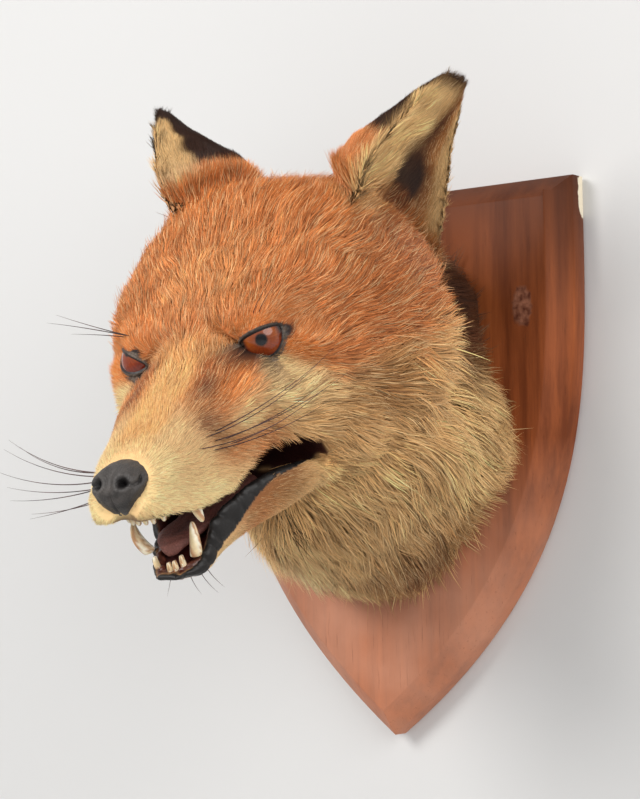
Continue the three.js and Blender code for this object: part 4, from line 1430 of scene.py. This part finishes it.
# %% gums
# the left half of each arch, from the back to the middle
GUM_ABOVE = [
    (38, 17.0, -42.2), (46, 15.8, -42.6), (54, 13.2, -42.8), (62, 10.0, -41.8), (67.2, 5.5, -41.2),
    (68.8, 0, -41.2),
]
GUM_BELOW = [
    (40, 12.5, -65.4), (47, 10.8, -68.4), (53.5, 9.4, -71.4), (57.6, 6.6, -73.4), (59.6, 3.4, -74.4),
    (60.2, 0, -74.6),
]
GUM_RED = srgb(92, 50, 38)
FINE_WELD = 1e-7


def whole_arch(half):
    return half + [(f, -l, u) for f, l, u in half[-2::-1]]


def gum(name, half, thick):
    arch = whole_arch(half)
    bm = bmesh.new()
    bm.from_mesh(tube(name, arch, [thick] * len(arch), sides=16, steps=10))
    bmesh.ops.remove_doubles(bm, verts=bm.verts, dist=FINE_WELD)
    bmesh.ops.subdivide_edges(bm, edges=bm.edges, cuts=1, use_grid_fill=True)
    split_many_sided(bm)
    mesh = mesh_of(bm, name)
    points = coords(mesh)
    lumps = ripples(points, 0.0042, seed=61)
    set_coords(mesh, points + normals(mesh) * (0.32 * lumps * MM)[:, None])
    # painted light and shade: paler on the lumps, darker between them
    paint(mesh, "tint", np.clip(GUM_RED * (1 + 0.35 * lumps)[:, None], 0.003, 1))
    return mesh


wet_gum = leather("wet_gum", rough=0.28, cell=1.6, depth_mm=0.25)
piece("gum_above", gum("gum_above", GUM_ABOVE, thick=2.4), wet_gum, "mouth_flesh")
piece("gum_below", gum("gum_below", GUM_BELOW, thick=2.1), wet_gum, "mouth_flesh")
print("gums:", len(whole_arch(GUM_ABOVE)), "places along each arch")

# %% [markdown]
# ## The tongue
# The tongue of a mount is carved or cast, then painted. Its solid is remeshed into even squares, so
# that it can be smoothed all over, then pressed in along the middle and roughened with low bumps. It
# is dull maroon, paler towards the tip.

# %% tongue
TONGUE_VOXEL = 0.9 * MM
MAROON, TONGUE_RIM = srgb(124, 76, 68), srgb(142, 90, 80)


def tongue_form():
    """The solid tongue in even squares, with its corners worn away."""
    bm = solid_copy("tongue", 0)
    bmesh.ops.triangulate(bm, faces=bm.faces)
    long_edges = [e for e in bm.edges if e.calc_length() > 4 * MM]
    bmesh.ops.subdivide_edges(bm, edges=long_edges, cuts=2, use_grid_fill=True)
    even = remeshed(plain_mesh(bm, "spare"), TONGUE_VOXEL)
    bm = bmesh.new()
    bm.from_mesh(even)
    soften(bm, 6)
    return mesh_of(bm, "tongue")


def tongue():
    mesh = tongue_form()
    points, way = coords(mesh), normals(mesh)
    f, l, _ = to_head(points).T
    upward = smoothstep(0.1, 0.7, way @ turned(UPWARD))
    groove = np.exp(-((l / 1.6) ** 2)) * smoothstep(54, 46, f)
    bumps = ripples(points, 0.0028, seed=71)
    broad = l * (0.3 * smoothstep(34, 44, f)) - 1.6 * smoothstep(38, 48, f)
    points = points + turned(columns(-1.2 * smoothstep(46, 52, f), broad, 0)) * MM
    set_coords(mesh, points + way * ((0.12 * bumps - 0.3 * groove) * upward * MM)[:, None])
    color = mixed(MAROON, TONGUE_RIM, smoothstep(47, 55, f)[:, None])
    # painted shade along the groove, and painted light on the raised bumps
    paint(mesh, "tint", np.clip(color * (1 - 0.35 * groove[:, None]) * (1 + 0.08 * bumps)[:, None], 0, 1))
    return mesh


tongue_paint = leather("tongue_paint", rough=0.6, cell=0.9, depth_mm=0.3)
piece("painted_tongue", tongue(), tongue_paint, "mouth_flesh", "tongue")
print("face done", round(time.time() - started, 1), "s")

# %% [markdown]
# ## How the coat lies
# Hair points from the nose backwards: straight back over bridge and brow, back and down on the
# cheeks, down the throat, and outwards where the ruff meets the board. Each point of the skin gets
# that direction, a length, a width and a number of tufts to the square millimetre. Combing the hair
# by hand would follow the eye better, but rules like these can be read, changed and run again.

# %% which way it lies
NOSE_TIP = np.array([76, 0, -34])
NECK_LEFT, NECK_HIGH = 4, 12  # the middle of the neck at the board, in millimetres


def lie_of_head(f, l, u, flu):
    to_side = np.sign(l) * smoothstep(0, 8, np.abs(l))
    way = columns(-1, 0.22 * to_side, 0.25 - 0.75 * smoothstep(0, -40, u))
    near_lip = smoothstep(14, 2, u - LIP_LINE(f))
    way = mixed(way, columns(-1, 0.15 * to_side, -0.15 - 0.55 * near_lip), smoothstep(25, 50, f)[:, None])
    from_nose = flu - NOSE_TIP
    by_nose = smoothstep(26, 14, np.linalg.norm(from_nose, axis=1))[:, None]
    way = mixed(unit(way), unit(from_nose), by_nose)
    jaw = columns(-1, 0.1 * to_side, -0.25 - 0.4 * smoothstep(10, -15, f))
    return turned(way), turned(jaw)


def lie_of_neck(world):
    x, y, z = world.T / MM
    radial = unit(columns(x - NECK_LEFT, 0, z - NECK_HIGH))
    at_board = smoothstep(-75, -28, y)[:, None]
    way = unit(columns(0.15, 0.75, -0.75 - 0.25 * smoothstep(0, -40, z)))
    way = way * (1 - 0.8 * at_board) + radial * (0.15 + 0.95 * at_board)
    return mixed(way, np.array([0.15, 0.9, -0.15]) + 0.6 * radial * at_board, smoothstep(30, 60, z)[:, None])


def lie_of_coat(flu, world):
    head, jaw = lie_of_head(*flu.T, flu)
    total = unit(head) * share["head"][:, None] + unit(jaw) * share["lower_jaw"][:, None]
    total += unit(lie_of_neck(world)) * share["neck"][:, None]
    for name, ear in EARS.items():
        _, over = in_ear(flu, name)
        behind = smoothstep(-0.25, 0.25, facing[name])[:, None]
        leaning = 0.3 * smoothstep(0.2, -0.6, over) - 0.15 * smoothstep(0.2, 0.8, over)
        sweep = ear.rise * 0.95 + ear.across * leaning[:, None]
        total += turned(mixed(unit(sweep), ear.rise, behind)) * share[name][:, None]
    return unit(total)


lie = lie_of_coat(outer_flu, outer)
lie -= skin_normal * (lie * skin_normal).sum(1, keepdims=True)
lie = unit(lie)
print("mean lie", tuple(lie.mean(0).round(2)))

# %% how long it is, in millimetres
def hair_length(flu, world):
    f, _, u = flu.T
    head = 9.5 + 5.5 * smoothstep(0, -40, f) + 9 * smoothstep(-15, -50, f) * smoothstep(10, -35, u)
    head += 3 * smoothstep(20, 0, f) * smoothstep(-14, -34, u)
    head = mixed(head, 4.6, smoothstep(14, 42, f))
    head *= 0.5 + 0.5 * smoothstep(12, 22, np.linalg.norm(flu - NOSE, axis=1))
    jaw = 4.5 + 9 * smoothstep(8, -18, f)
    x, y, z = world.T / MM
    neck = 30 - 6 * smoothstep(-56, -26, y) - 6 * smoothstep(40, 70, z)
    neck -= 8 * smoothstep(-22, -58, z) + 7 * smoothstep(40, 66, x)
    length = share["head"] * head + share["lower_jaw"] * jaw + share["neck"] * neck
    for name in EARS:
        up, over = in_ear(flu, name)
        behind = smoothstep(-0.25, 0.25, facing[name])
        inner = 5 + 7 * smoothstep(0.1, -0.7, over) * smoothstep(0.95, 0.5, up)
        outer_side = 5.5 + 6 * smoothstep(0.35, 0.0, up)
        length += share[name] * mixed(inner, outer_side, behind)
    return length * (0.22 + 0.78 * smoothstep(1.0, 13, eye_gap))


length = hair_length(outer_flu, outer)
print("hair length from", round(float(length.min()), 1), "to", round(float(length.max()), 1), "mm")

# %% how thick and how dense it is
LENGTHS = [2, 5, 10, 16, 30, 40]
WIDTHS = [0.24, 0.32, 0.40, 0.50, 0.78, 0.85]
TUFTS_TO_THE_SQUARE = [6.5, 5.0, 1.9, 1.3, 0.72, 0.7]
PAD_NEAR = 24


def tree_of(mesh):
    """A search tree that finds the nearest point of a mesh."""
    places = [tuple(v.co) for v in mesh.vertices]
    return BVHTree.FromPolygons(places, [tuple(p.vertices) for p in mesh.polygons])


def clear_of_pad(points):
    """0 for roots hidden behind or inside the nose pad, 1 from its edge outwards."""
    tree = tree_of(bpy.data.objects["nose_pad"].data)
    clear = np.ones(len(points))
    for k in np.flatnonzero(np.linalg.norm(to_head(points) - NOSE, axis=1) < PAD_NEAR).tolist():
        hit, way, _, gap = tree.find_nearest(points[k])
        inside = (Vector(points[k]) - hit).dot(way) < 0
        clear[k] = 0.0 if inside else smoothstep(0.1, 0.5, gap / MM)
    return clear * (1 - smoothstep(0.6, 0.95, behind_pad))


furred = smoothstep(0.75, 0.45, bare) * smoothstep(0.9, 1.6, eye_gap)
furred *= 1 - 0.85 * np.maximum(grey_corner, black_corner)
furred *= clear_of_pad(skin_points)
furred *= smoothstep(-0.0195, -0.0215, outer[:, 1])
width = np.interp(length, LENGTHS, WIDTHS)
density = np.interp(length, LENGTHS, TUFTS_TO_THE_SQUARE) * furred
print("furred points:", int((furred > 0.5).sum()))

# %% [markdown]
# ## Planting the tufts
# Roots are scattered over the skin's triangles in proportion to area and density. Each tuft is a
# closed three-sided spike, bent from a steep root to a flat tip. Neighbouring tips lean together into
# locks, strongly in the ruff and hardly at all on the face. An operator called for each tuft would
# take many minutes, so all of them are worked out at once, as arrays.

# %% scatter the roots
SEED = 11


def triangles_of(mesh):
    mesh.calc_loop_triangles()
    count = len(mesh.loop_triangles)
    corners = np.empty(count * 3, np.int32)
    loops = np.empty(count * 3, np.int32)
    mesh.loop_triangles.foreach_get("vertices", corners)
    mesh.loop_triangles.foreach_get("loops", loops)
    flat_uv = np.empty(len(mesh.loops) * 2, np.float32)
    mesh.uv_layers["OFBake"].uv.foreach_get("vector", flat_uv)
    return corners.reshape(-1, 3), flat_uv.reshape(-1, 2)[loops.reshape(-1, 3)]


def scatter():
    rng = np.random.default_rng(SEED)
    tri, tri_uv = triangles_of(skin_mesh)
    a, b, c = (skin_points[tri[:, k]] for k in range(3))
    area = np.linalg.norm(np.cross(b - a, c - a), axis=1) / 2 / MM**2
    wanted = area * density[tri].mean(1)
    count = int(wanted.sum())
    chosen = np.searchsorted(np.cumsum(wanted), rng.uniform(0, wanted.sum(), count))
    chosen = np.minimum(chosen, len(tri) - 1)
    one, two = rng.uniform(size=(2, count))
    flip = one + two > 1
    one[flip], two[flip] = 1 - one[flip], 1 - two[flip]
    bary = np.stack([1 - one - two, one, two], 1)
    corners = tri[chosen]

    def at(values):
        values = values[:, None] if values.ndim == 1 else values
        return (values[corners] * bary[:, :, None]).sum(1)

    uv = (tri_uv[chosen] * bary[:, :, None]).sum(1)
    return at, uv, count


at_roots, root_uv, tufts = scatter()
print("tufts:", tufts)

# %% lines of the tufts
def tuft_lines(own, steps):
    """Points along each tuft: it leaves the skin at its rise and nears its fall towards the tip."""
    lines = []
    long = own["long"] * MM
    for t in steps:
        angle = own["rise"] + (own["fall"] - own["rise"]) * t / 2
        along = own["way"] * np.cos(angle)[:, None] + own["normal"] * np.sin(angle)[:, None]
        lines.append(own["root"] + along * (long * t)[:, None] + own["sag"] * (long * t * t)[:, None])
    return np.stack(lines, 1)


def gather(lines, steps, leaders, pull, long):
    """Leans every tuft towards the leader of its lock, most of all at the tips."""
    tree = KDTree(len(leaders))
    for k, i in enumerate(leaders):
        tree.insert(lines[i, 0], k)
    tree.balance()
    chief = leaders[[tree.find(p)[1] for p in lines[:, 0].tolist()]]
    apart = np.linalg.norm(lines[chief, 0] - lines[:, 0], axis=1)
    along = (unit(lines[:, -1] - lines[:, 0]) * unit(lines[chief, -1] - lines[chief, 0])).sum(1)
    pull = pull * np.clip(1.3 - 2.4 * apart / long, 0, 1) * smoothstep(0.4, 0.85, along)
    for k, t in enumerate(steps):
        lines[:, k] += (lines[chief, k] - lines[:, k]) * (pull * t**1.4)[:, None]
    return chief

# %% bodies of the tufts
SOFT_SIDE, SOFT_TIP = 0.7, 0.3
RIDGE = 0.75  # the middle corner stands this far out, beside 1 for the corners at the sides


def spike_faces(rings):
    """Corners of the faces: one at the root, three quads from ring to ring, cut in two, and the tip."""
    faces = [(0, 2, 1)]
    for r in range(0, 3 * (rings - 1), 3):
        for i, j in ((0, 1), (1, 2), (2, 0)):
            faces += [(r + i, r + j, r + 3 + i), (r + j, r + 3 + j, r + 3 + i)]
    top = 3 * (rings - 1)
    return np.array(faces + [(top + i, top + j, top + 3) for i, j in ((0, 1), (1, 2), (2, 0))])


def spikes(lines, steps, own):
    """Three-cornered rings round each line, drawn to a point, and the way that each corner is shaded."""
    rings = len(steps) - 1
    across = unit(np.cross(own["way"], own["normal"]))
    points, shading = [], []
    for k in range(rings):
        out = unit(np.cross(across, unit(lines[:, k + 1] - lines[:, k])))
        out *= np.sign((out * own["normal"]).sum(1, keepdims=True))
        thick = (own["wide"] * (1 - steps[k]) ** 0.6 / 2)[:, None]
        for side in (-across, out * RIDGE, across):
            points.append(lines[:, k] + side * thick)
            shading.append(unit(own["soft"] + SOFT_SIDE * side))
    points.append(lines[:, -1])
    shading.append(unit(own["soft"] + SOFT_TIP * out))
    return np.stack(points, 1), np.stack(shading, 1)


def tuft_mesh(name, points, shading, faces, colors, uv):
    """Every corner is shaded mostly as the coat round it, so that single hairs don't turn dark."""
    count, per = points.shape[:2]
    mesh = bpy.data.meshes.new(name)
    mesh.vertices.add(count * per)
    mesh.vertices.foreach_set("co", points.astype(np.float32).ravel())
    index = (faces[None] + per * np.arange(count)[:, None, None]).astype(np.int32)
    mesh.loops.add(index.size)
    mesh.loops.foreach_set("vertex_index", index.ravel())
    mesh.polygons.add(index.size // 3)
    mesh.polygons.foreach_set("loop_start", np.arange(0, index.size, 3, dtype=np.int32))
    mesh.update(calc_edges=True)
    mesh.shade_smooth()
    soft = mesh.attributes.new("custom_normal", "FLOAT_VECTOR", "POINT")
    soft.data.foreach_set("vector", shading.astype(np.float32).ravel())
    paint(mesh, "tint", colors.reshape(-1, 3))
    layer = mesh.uv_layers.new(name="OFBake")
    layer.uv.foreach_set("vector", uv.reshape(-1, 2)[index.ravel()].astype(np.float32).ravel())
    return mesh


def coat_material():
    material, shader = new_material("fox_hair", roughness=0.55, specular=0.22)
    feed(shader, {"Base Color": painted(material, "tint")})
    return material


coat = coat_material()
print("triangles in the longest tuft:", len(spike_faces(3)))

# %% [markdown]
# ## Every tuft its own
# No two tufts of a real coat are alike. Each gets its own length, width, lift and colour by chance,
# and wide slow ripples turn whole patches of the coat a little to one side. One long hair in sixteen
# or so strays. About a fifth of the tufts turn towards straw where the coat is red, and nearly as
# many, outside the ears, are dusky.

# %% chance values
LONG_ENOUGH_TO_STRAY = 7.5
STRAY_LIFT = 0.3
LOCK_SEED = 5
HAIR_STRAW, HAIR_DUSK = srgb(238, 204, 150), srgb(84, 54, 36)


def tuft_values(rng):
    """One row for each tuft, of all that its form depends on."""
    root, normal, way = at_roots(skin_points), unit(at_roots(skin_normal)), at_roots(lie)
    where = to_head(root)
    long = at_roots(length)[:, 0] * rng.uniform(0.72, 1.15, tufts)
    deep = at_roots(depth)[:, 0]
    wide = at_roots(width)[:, 0] * rng.uniform(0.75, 1.2, tufts) * MM
    in_ears = at_roots(ear_share)[:, 0]
    swirl = 0.34 * ripples(root, 0.022, seed=31) + 0.22 * ripples(root, 0.009, seed=33)
    swirl += rng.normal(0, 0.15, tufts)
    swirl *= np.where(long < 7, 0.7, 1.0)
    aside = unit(np.cross(normal, way))
    way = unit(way - normal * (way * normal).sum(1, keepdims=True))
    way = way * np.cos(swirl)[:, None] + aside * np.sin(swirl)[:, None]
    rise = np.arcsin(np.clip(2.0 * deep / long - 0.08, 0.16, 0.8)) + rng.normal(0, 0.07, tufts)
    rise = np.maximum(rise, 0.1)
    fall = 0.05 + rng.normal(0, 0.07, tufts)
    stray = STRAY_LIFT * (rng.uniform(size=tufts) > 0.94) * (long > LONG_ENOUGH_TO_STRAY)
    fronts = [turned(-EARS[name].back[None]) for name in ("ear_left", "ear_right")]
    ear_front = np.where(where[:, 1:2] > 0, *fronts)
    even = (1 - 0.4 * smoothstep(14, 30, long))[:, None]
    return {
        "root": root - normal * (0.25 * MM), "normal": normal, "way": way, "where": where,
        "long": long, "wide": wide, "rise": rise + stray, "fall": fall + stray,
        "sag": np.array([0, 0, -0.10]) * smoothstep(14, 30, long)[:, None],
        "soft": unit(normal + 0.9 * ear_front * in_ears[:, None]) * even,
        "in_ears": in_ears, "in_neck": at_roots(share["neck"])[:, 0], "uv": root_uv,
    }


def tuft_colors(in_ears, rng):
    """Colours at the base, on the body and at the tip of each tuft, and the tone of the lock it may lead."""
    tint = at_roots(coat_tint)
    strand = np.exp(rng.normal(0, 0.19, tufts))[:, None]
    pick = rng.uniform(size=tufts)
    warm = smoothstep(0.55, 0.25, tint[:, 2] / np.maximum(tint[:, 0], 1e-6))
    straw = (pick < 0.20)[:, None] * (0.45 * warm * smoothstep(0.06, 0.25, tint[:, 0]))[:, None]
    dusk = ((pick > 0.82) & (in_ears < 0.5))[:, None] * 0.34
    body = mixed(mixed(tint * strand, HAIR_STRAW, straw), HAIR_DUSK, dusk)
    tip = np.minimum(body * 1.16 + 0.02 * smoothstep(0.04, 0.2, body), 0.97)
    lock_tone = np.exp(np.random.default_rng(LOCK_SEED).normal(0, 0.16, tufts))
    return {"base": body * 0.92, "body": body, "tip": tip, "lock_tone": lock_tone}


chance = np.random.default_rng(SEED + 1)
all_tufts = tuft_values(chance)
all_tufts.update(tuft_colors(all_tufts["in_ears"], chance))
print("longest tuft", round(float(all_tufts["long"].max()), 1), "mm")

# %% grow the coat
# for each kind: how long its hairs are in millimetres, stations from root to tip as shares of the
# length, what share of them leads a lock, and how far the others lean towards their leader
KINDS = {
    "short": {"over": 0, "under": 7.5, "steps": (0, 1.0), "leading": 0, "lean": 0},
    "middle": {"over": 7.5, "under": 20, "steps": (0, 0.5, 1.0), "leading": 0.10, "lean": 0.42},
    "long": {"over": 20, "under": 99, "steps": (0, 0.36, 0.7, 1.0), "leading": 0.045, "lean": 0.62},
}
REGIONS = ("ear_left", "ear_right", "neck_left", "neck_right", "muzzle", "head_left", "head_right")
MUZZLE_FROM, NECK_PARTING = 22, 20
BODY_AT = 0.45  # the share of the length where a tuft has its full colour
UV_PATCH = 0.003
TRIANGLE_LIMIT = 190000


def region_of(own):
    """The number of the region that each tuft grows in."""
    f, l, _ = own["where"].T
    ears, neck = own["in_ears"] > 0.5, own["in_neck"] > 0.5
    tests = [ears & (l > 0), ears, neck & (l > NECK_PARTING), neck, f > MUZZLE_FROM, l > 0]
    return np.select(tests, range(len(tests)), len(tests))


def shade_along(own, steps, lock_tone):
    """The colour and the place on the flat map of every corner of every tuft."""
    rings = len(steps) - 1
    up = np.append(np.repeat(steps[:-1], 3), 1.0)
    to_body = np.clip(up / BODY_AT, 0, 1)[None, :, None]
    to_tip = np.clip((up - BODY_AT) / (1 - BODY_AT), 0, 1)[None, :, None]
    colors = mixed(own["base"][:, None], own["body"][:, None], to_body)
    colors = mixed(colors, own["tip"][:, None], to_tip) * lock_tone
    ring_side = np.append(np.tile([0.0, 0.5, 1.0], rings), 0.5)
    patch = np.stack([ring_side, up], 1) * UV_PATCH
    return np.clip(colors, 0.002, 0.95), own["uv"][:, None] + patch[None]


def grow(kind, over, under, steps, leading, lean):
    mask = (all_tufts["long"] >= over) & (all_tufts["long"] < under)
    own = {key: values[mask] for key, values in all_tufts.items()}
    count = len(own["long"])
    lines = tuft_lines(own, steps)
    lock_tone = 1.0
    if leading:
        pull = lean * chance.uniform(0.5, 1.2, count)
        leaders = chance.choice(count, int(count * leading), replace=False)
        chief = gather(lines, steps, leaders, pull, own["long"] * MM)
        lock_tone = own["lock_tone"][chief][:, None, None]
    points, shading = spikes(lines, steps, own)
    faces = spike_faces(len(steps) - 1)
    colors, uv = shade_along(own, steps, lock_tone)
    region = region_of(own)
    for number, place in enumerate(REGIONS):
        members = np.flatnonzero(region == number)
        parts = math.ceil(len(members) * len(faces) / TRIANGLE_LIMIT)
        for n, group in enumerate(np.array_split(members, parts) if parts else []):
            name = f"coat_{place}_{kind}" + (f"_{n + 1}" if parts > 1 else "")
            mesh = tuft_mesh(name, points[group], shading[group], faces, colors[group], uv[group])
            piece(name, mesh, coat, "ear_fur" if place.startswith("ear") else "fur")
            print(name, len(group), "tufts,", len(mesh.polygons), "triangles")


for kind, form in KINDS.items():
    grow(kind, **form)
print("coat grown", round(time.time() - started, 1), "s")

# %% [markdown]
# ## Whiskers
# Stiff dark hairs stand in rows on the muzzle, sweep back past the cheeks and curve outwards on the far
# side; a few more stand over the brows and under the chin. Each is a thin tapered rod, rooted in the
# skin and built along a curve, because hairs so stiff keep one even bend. Roots and ways are given on
# the head's axes, lengths in millimetres.

# %% whiskers
WHISKER_ROWS = [
    # root, way at the root, way at the tip, length
    ((45.5, 24, -24), (-0.45, 0.85, 0.10), (-0.80, 0.45, 0.42), 54),
    ((41.6, 25, -23.6), (-0.50, 0.80, 0.18), (-0.85, 0.42, 0.36), 60),
    ((43, 25, -27), (-0.45, 0.86, 0.05), (-0.86, 0.50, 0.28), 62),
    ((39, 27, -28), (-0.50, 0.80, 0.08), (-0.84, 0.46, 0.30), 50),
    ((36.7, 27.6, -31), (-0.50, 0.80, 0.05), (-0.80, 0.50, 0.36), 44),
    ((45.3, 25, -30), (-0.40, 0.88, -0.02), (-0.82, 0.52, 0.22), 52),
    ((50, 23, -27), (-0.35, 0.90, -0.05), (-0.85, 0.50, 0.10), 34),
    ((66, -19, -27), (0.20, -0.95, 0.10), (0.05, -0.70, 0.70), 36),
    ((62, -20, -29), (0.15, -0.95, 0.15), (-0.05, -0.75, 0.62), 44),
    ((64, -20, -32), (0.25, -0.95, -0.02), (0.10, -0.86, 0.46), 46),
    ((59, -21, -32), (0.10, -0.97, 0.08), (-0.10, -0.84, 0.50), 50),
    ((67, -19, -34), (0.35, -0.92, -0.10), (0.25, -0.92, 0.20), 38),
    ((60, -21, -36), (0.15, -0.97, -0.08), (0.0, -0.95, 0.25), 48),
    ((68, -18, -38), (0.42, -0.88, -0.15), (0.35, -0.92, 0.02), 30),
    ((63, -20, -40), (0.25, -0.95, -0.18), (0.20, -0.96, 0.10), 34),
    ((9, -33, 13), (0.35, -0.80, 0.45), (0.05, -0.90, 0.42), 34),
    ((7, -35, 12), (0.30, -0.86, 0.40), (0.0, -0.97, 0.20), 38),
    ((5, -37, 10), (0.30, -0.90, 0.30), (0.0, -0.98, 0.10), 26),
    ((8, 33, 16), (0.40, 0.60, 0.68), (-0.25, 0.70, 0.66), 16),
    ((6, 36, 15), (0.35, 0.66, 0.66), (-0.35, 0.70, 0.62), 19),
    ((58, 6, -79.5), (0.35, 0.35, -0.86), (0.0, 0.55, -0.84), 9),
    ((54, 9, -79), (0.20, 0.45, -0.86), (-0.15, 0.62, -0.77), 11),
    ((48, 8, -79), (0.10, 0.40, -0.90), (-0.30, 0.50, -0.80), 12),
    ((56, -5, -79.5), (0.35, -0.30, -0.88), (0.1, -0.45, -0.88), 9),
]
WHISKER_RADIUS, WHISKER_STEPS = 0.24, 7


def whiskers():
    tree = tree_of(skin_mesh)
    bm = bmesh.new()
    for root, way, end_way, long in WHISKER_ROWS:
        at = to_head(np.array(tree.find_nearest(Vector(from_head(np.array(root, float))))[0]))
        way, end_way = unit(np.array(way, float)), unit(np.array(end_way, float))
        line = [at - way * 0.8]
        for k in range(WHISKER_STEPS):
            t = (k + 0.5) / WHISKER_STEPS
            line.append(line[-1] + unit(mixed(way, end_way, t)) * (long / WHISKER_STEPS))
        thick = WHISKER_RADIUS * (0.6 + 0.4 * min(1, long / 40))
        radii = [thick * (1 - 0.85 * (k / WHISKER_STEPS) ** 1.3) for k in range(WHISKER_STEPS + 1)]
        mesh = tube("whisker", line, radii, sides=4, steps=3)
        bm.from_mesh(mesh)
        bpy.data.meshes.remove(mesh)
    bmesh.ops.remove_doubles(bm, verts=bm.verts, dist=FINE_WELD)
    return mesh_of(bm, "whiskers")


def whisker_material():
    material, shader = new_material("dark_bristle", roughness=0.35, specular=0.4)
    fade = noise(material, object_place(material), scale=90.0, detail=2.0)
    browns = [(0.35, opaque(34, 20, 26)), (0.75, opaque(104, 72, 66))]
    feed(shader, {"Base Color": ramp(material, fade, browns)})
    return material


piece("whiskers", whiskers(), whisker_material(), "whisker")
print("whiskers:", len(WHISKER_ROWS))

# %% close
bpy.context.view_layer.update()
print("seconds:", round(time.time() - started, 1))
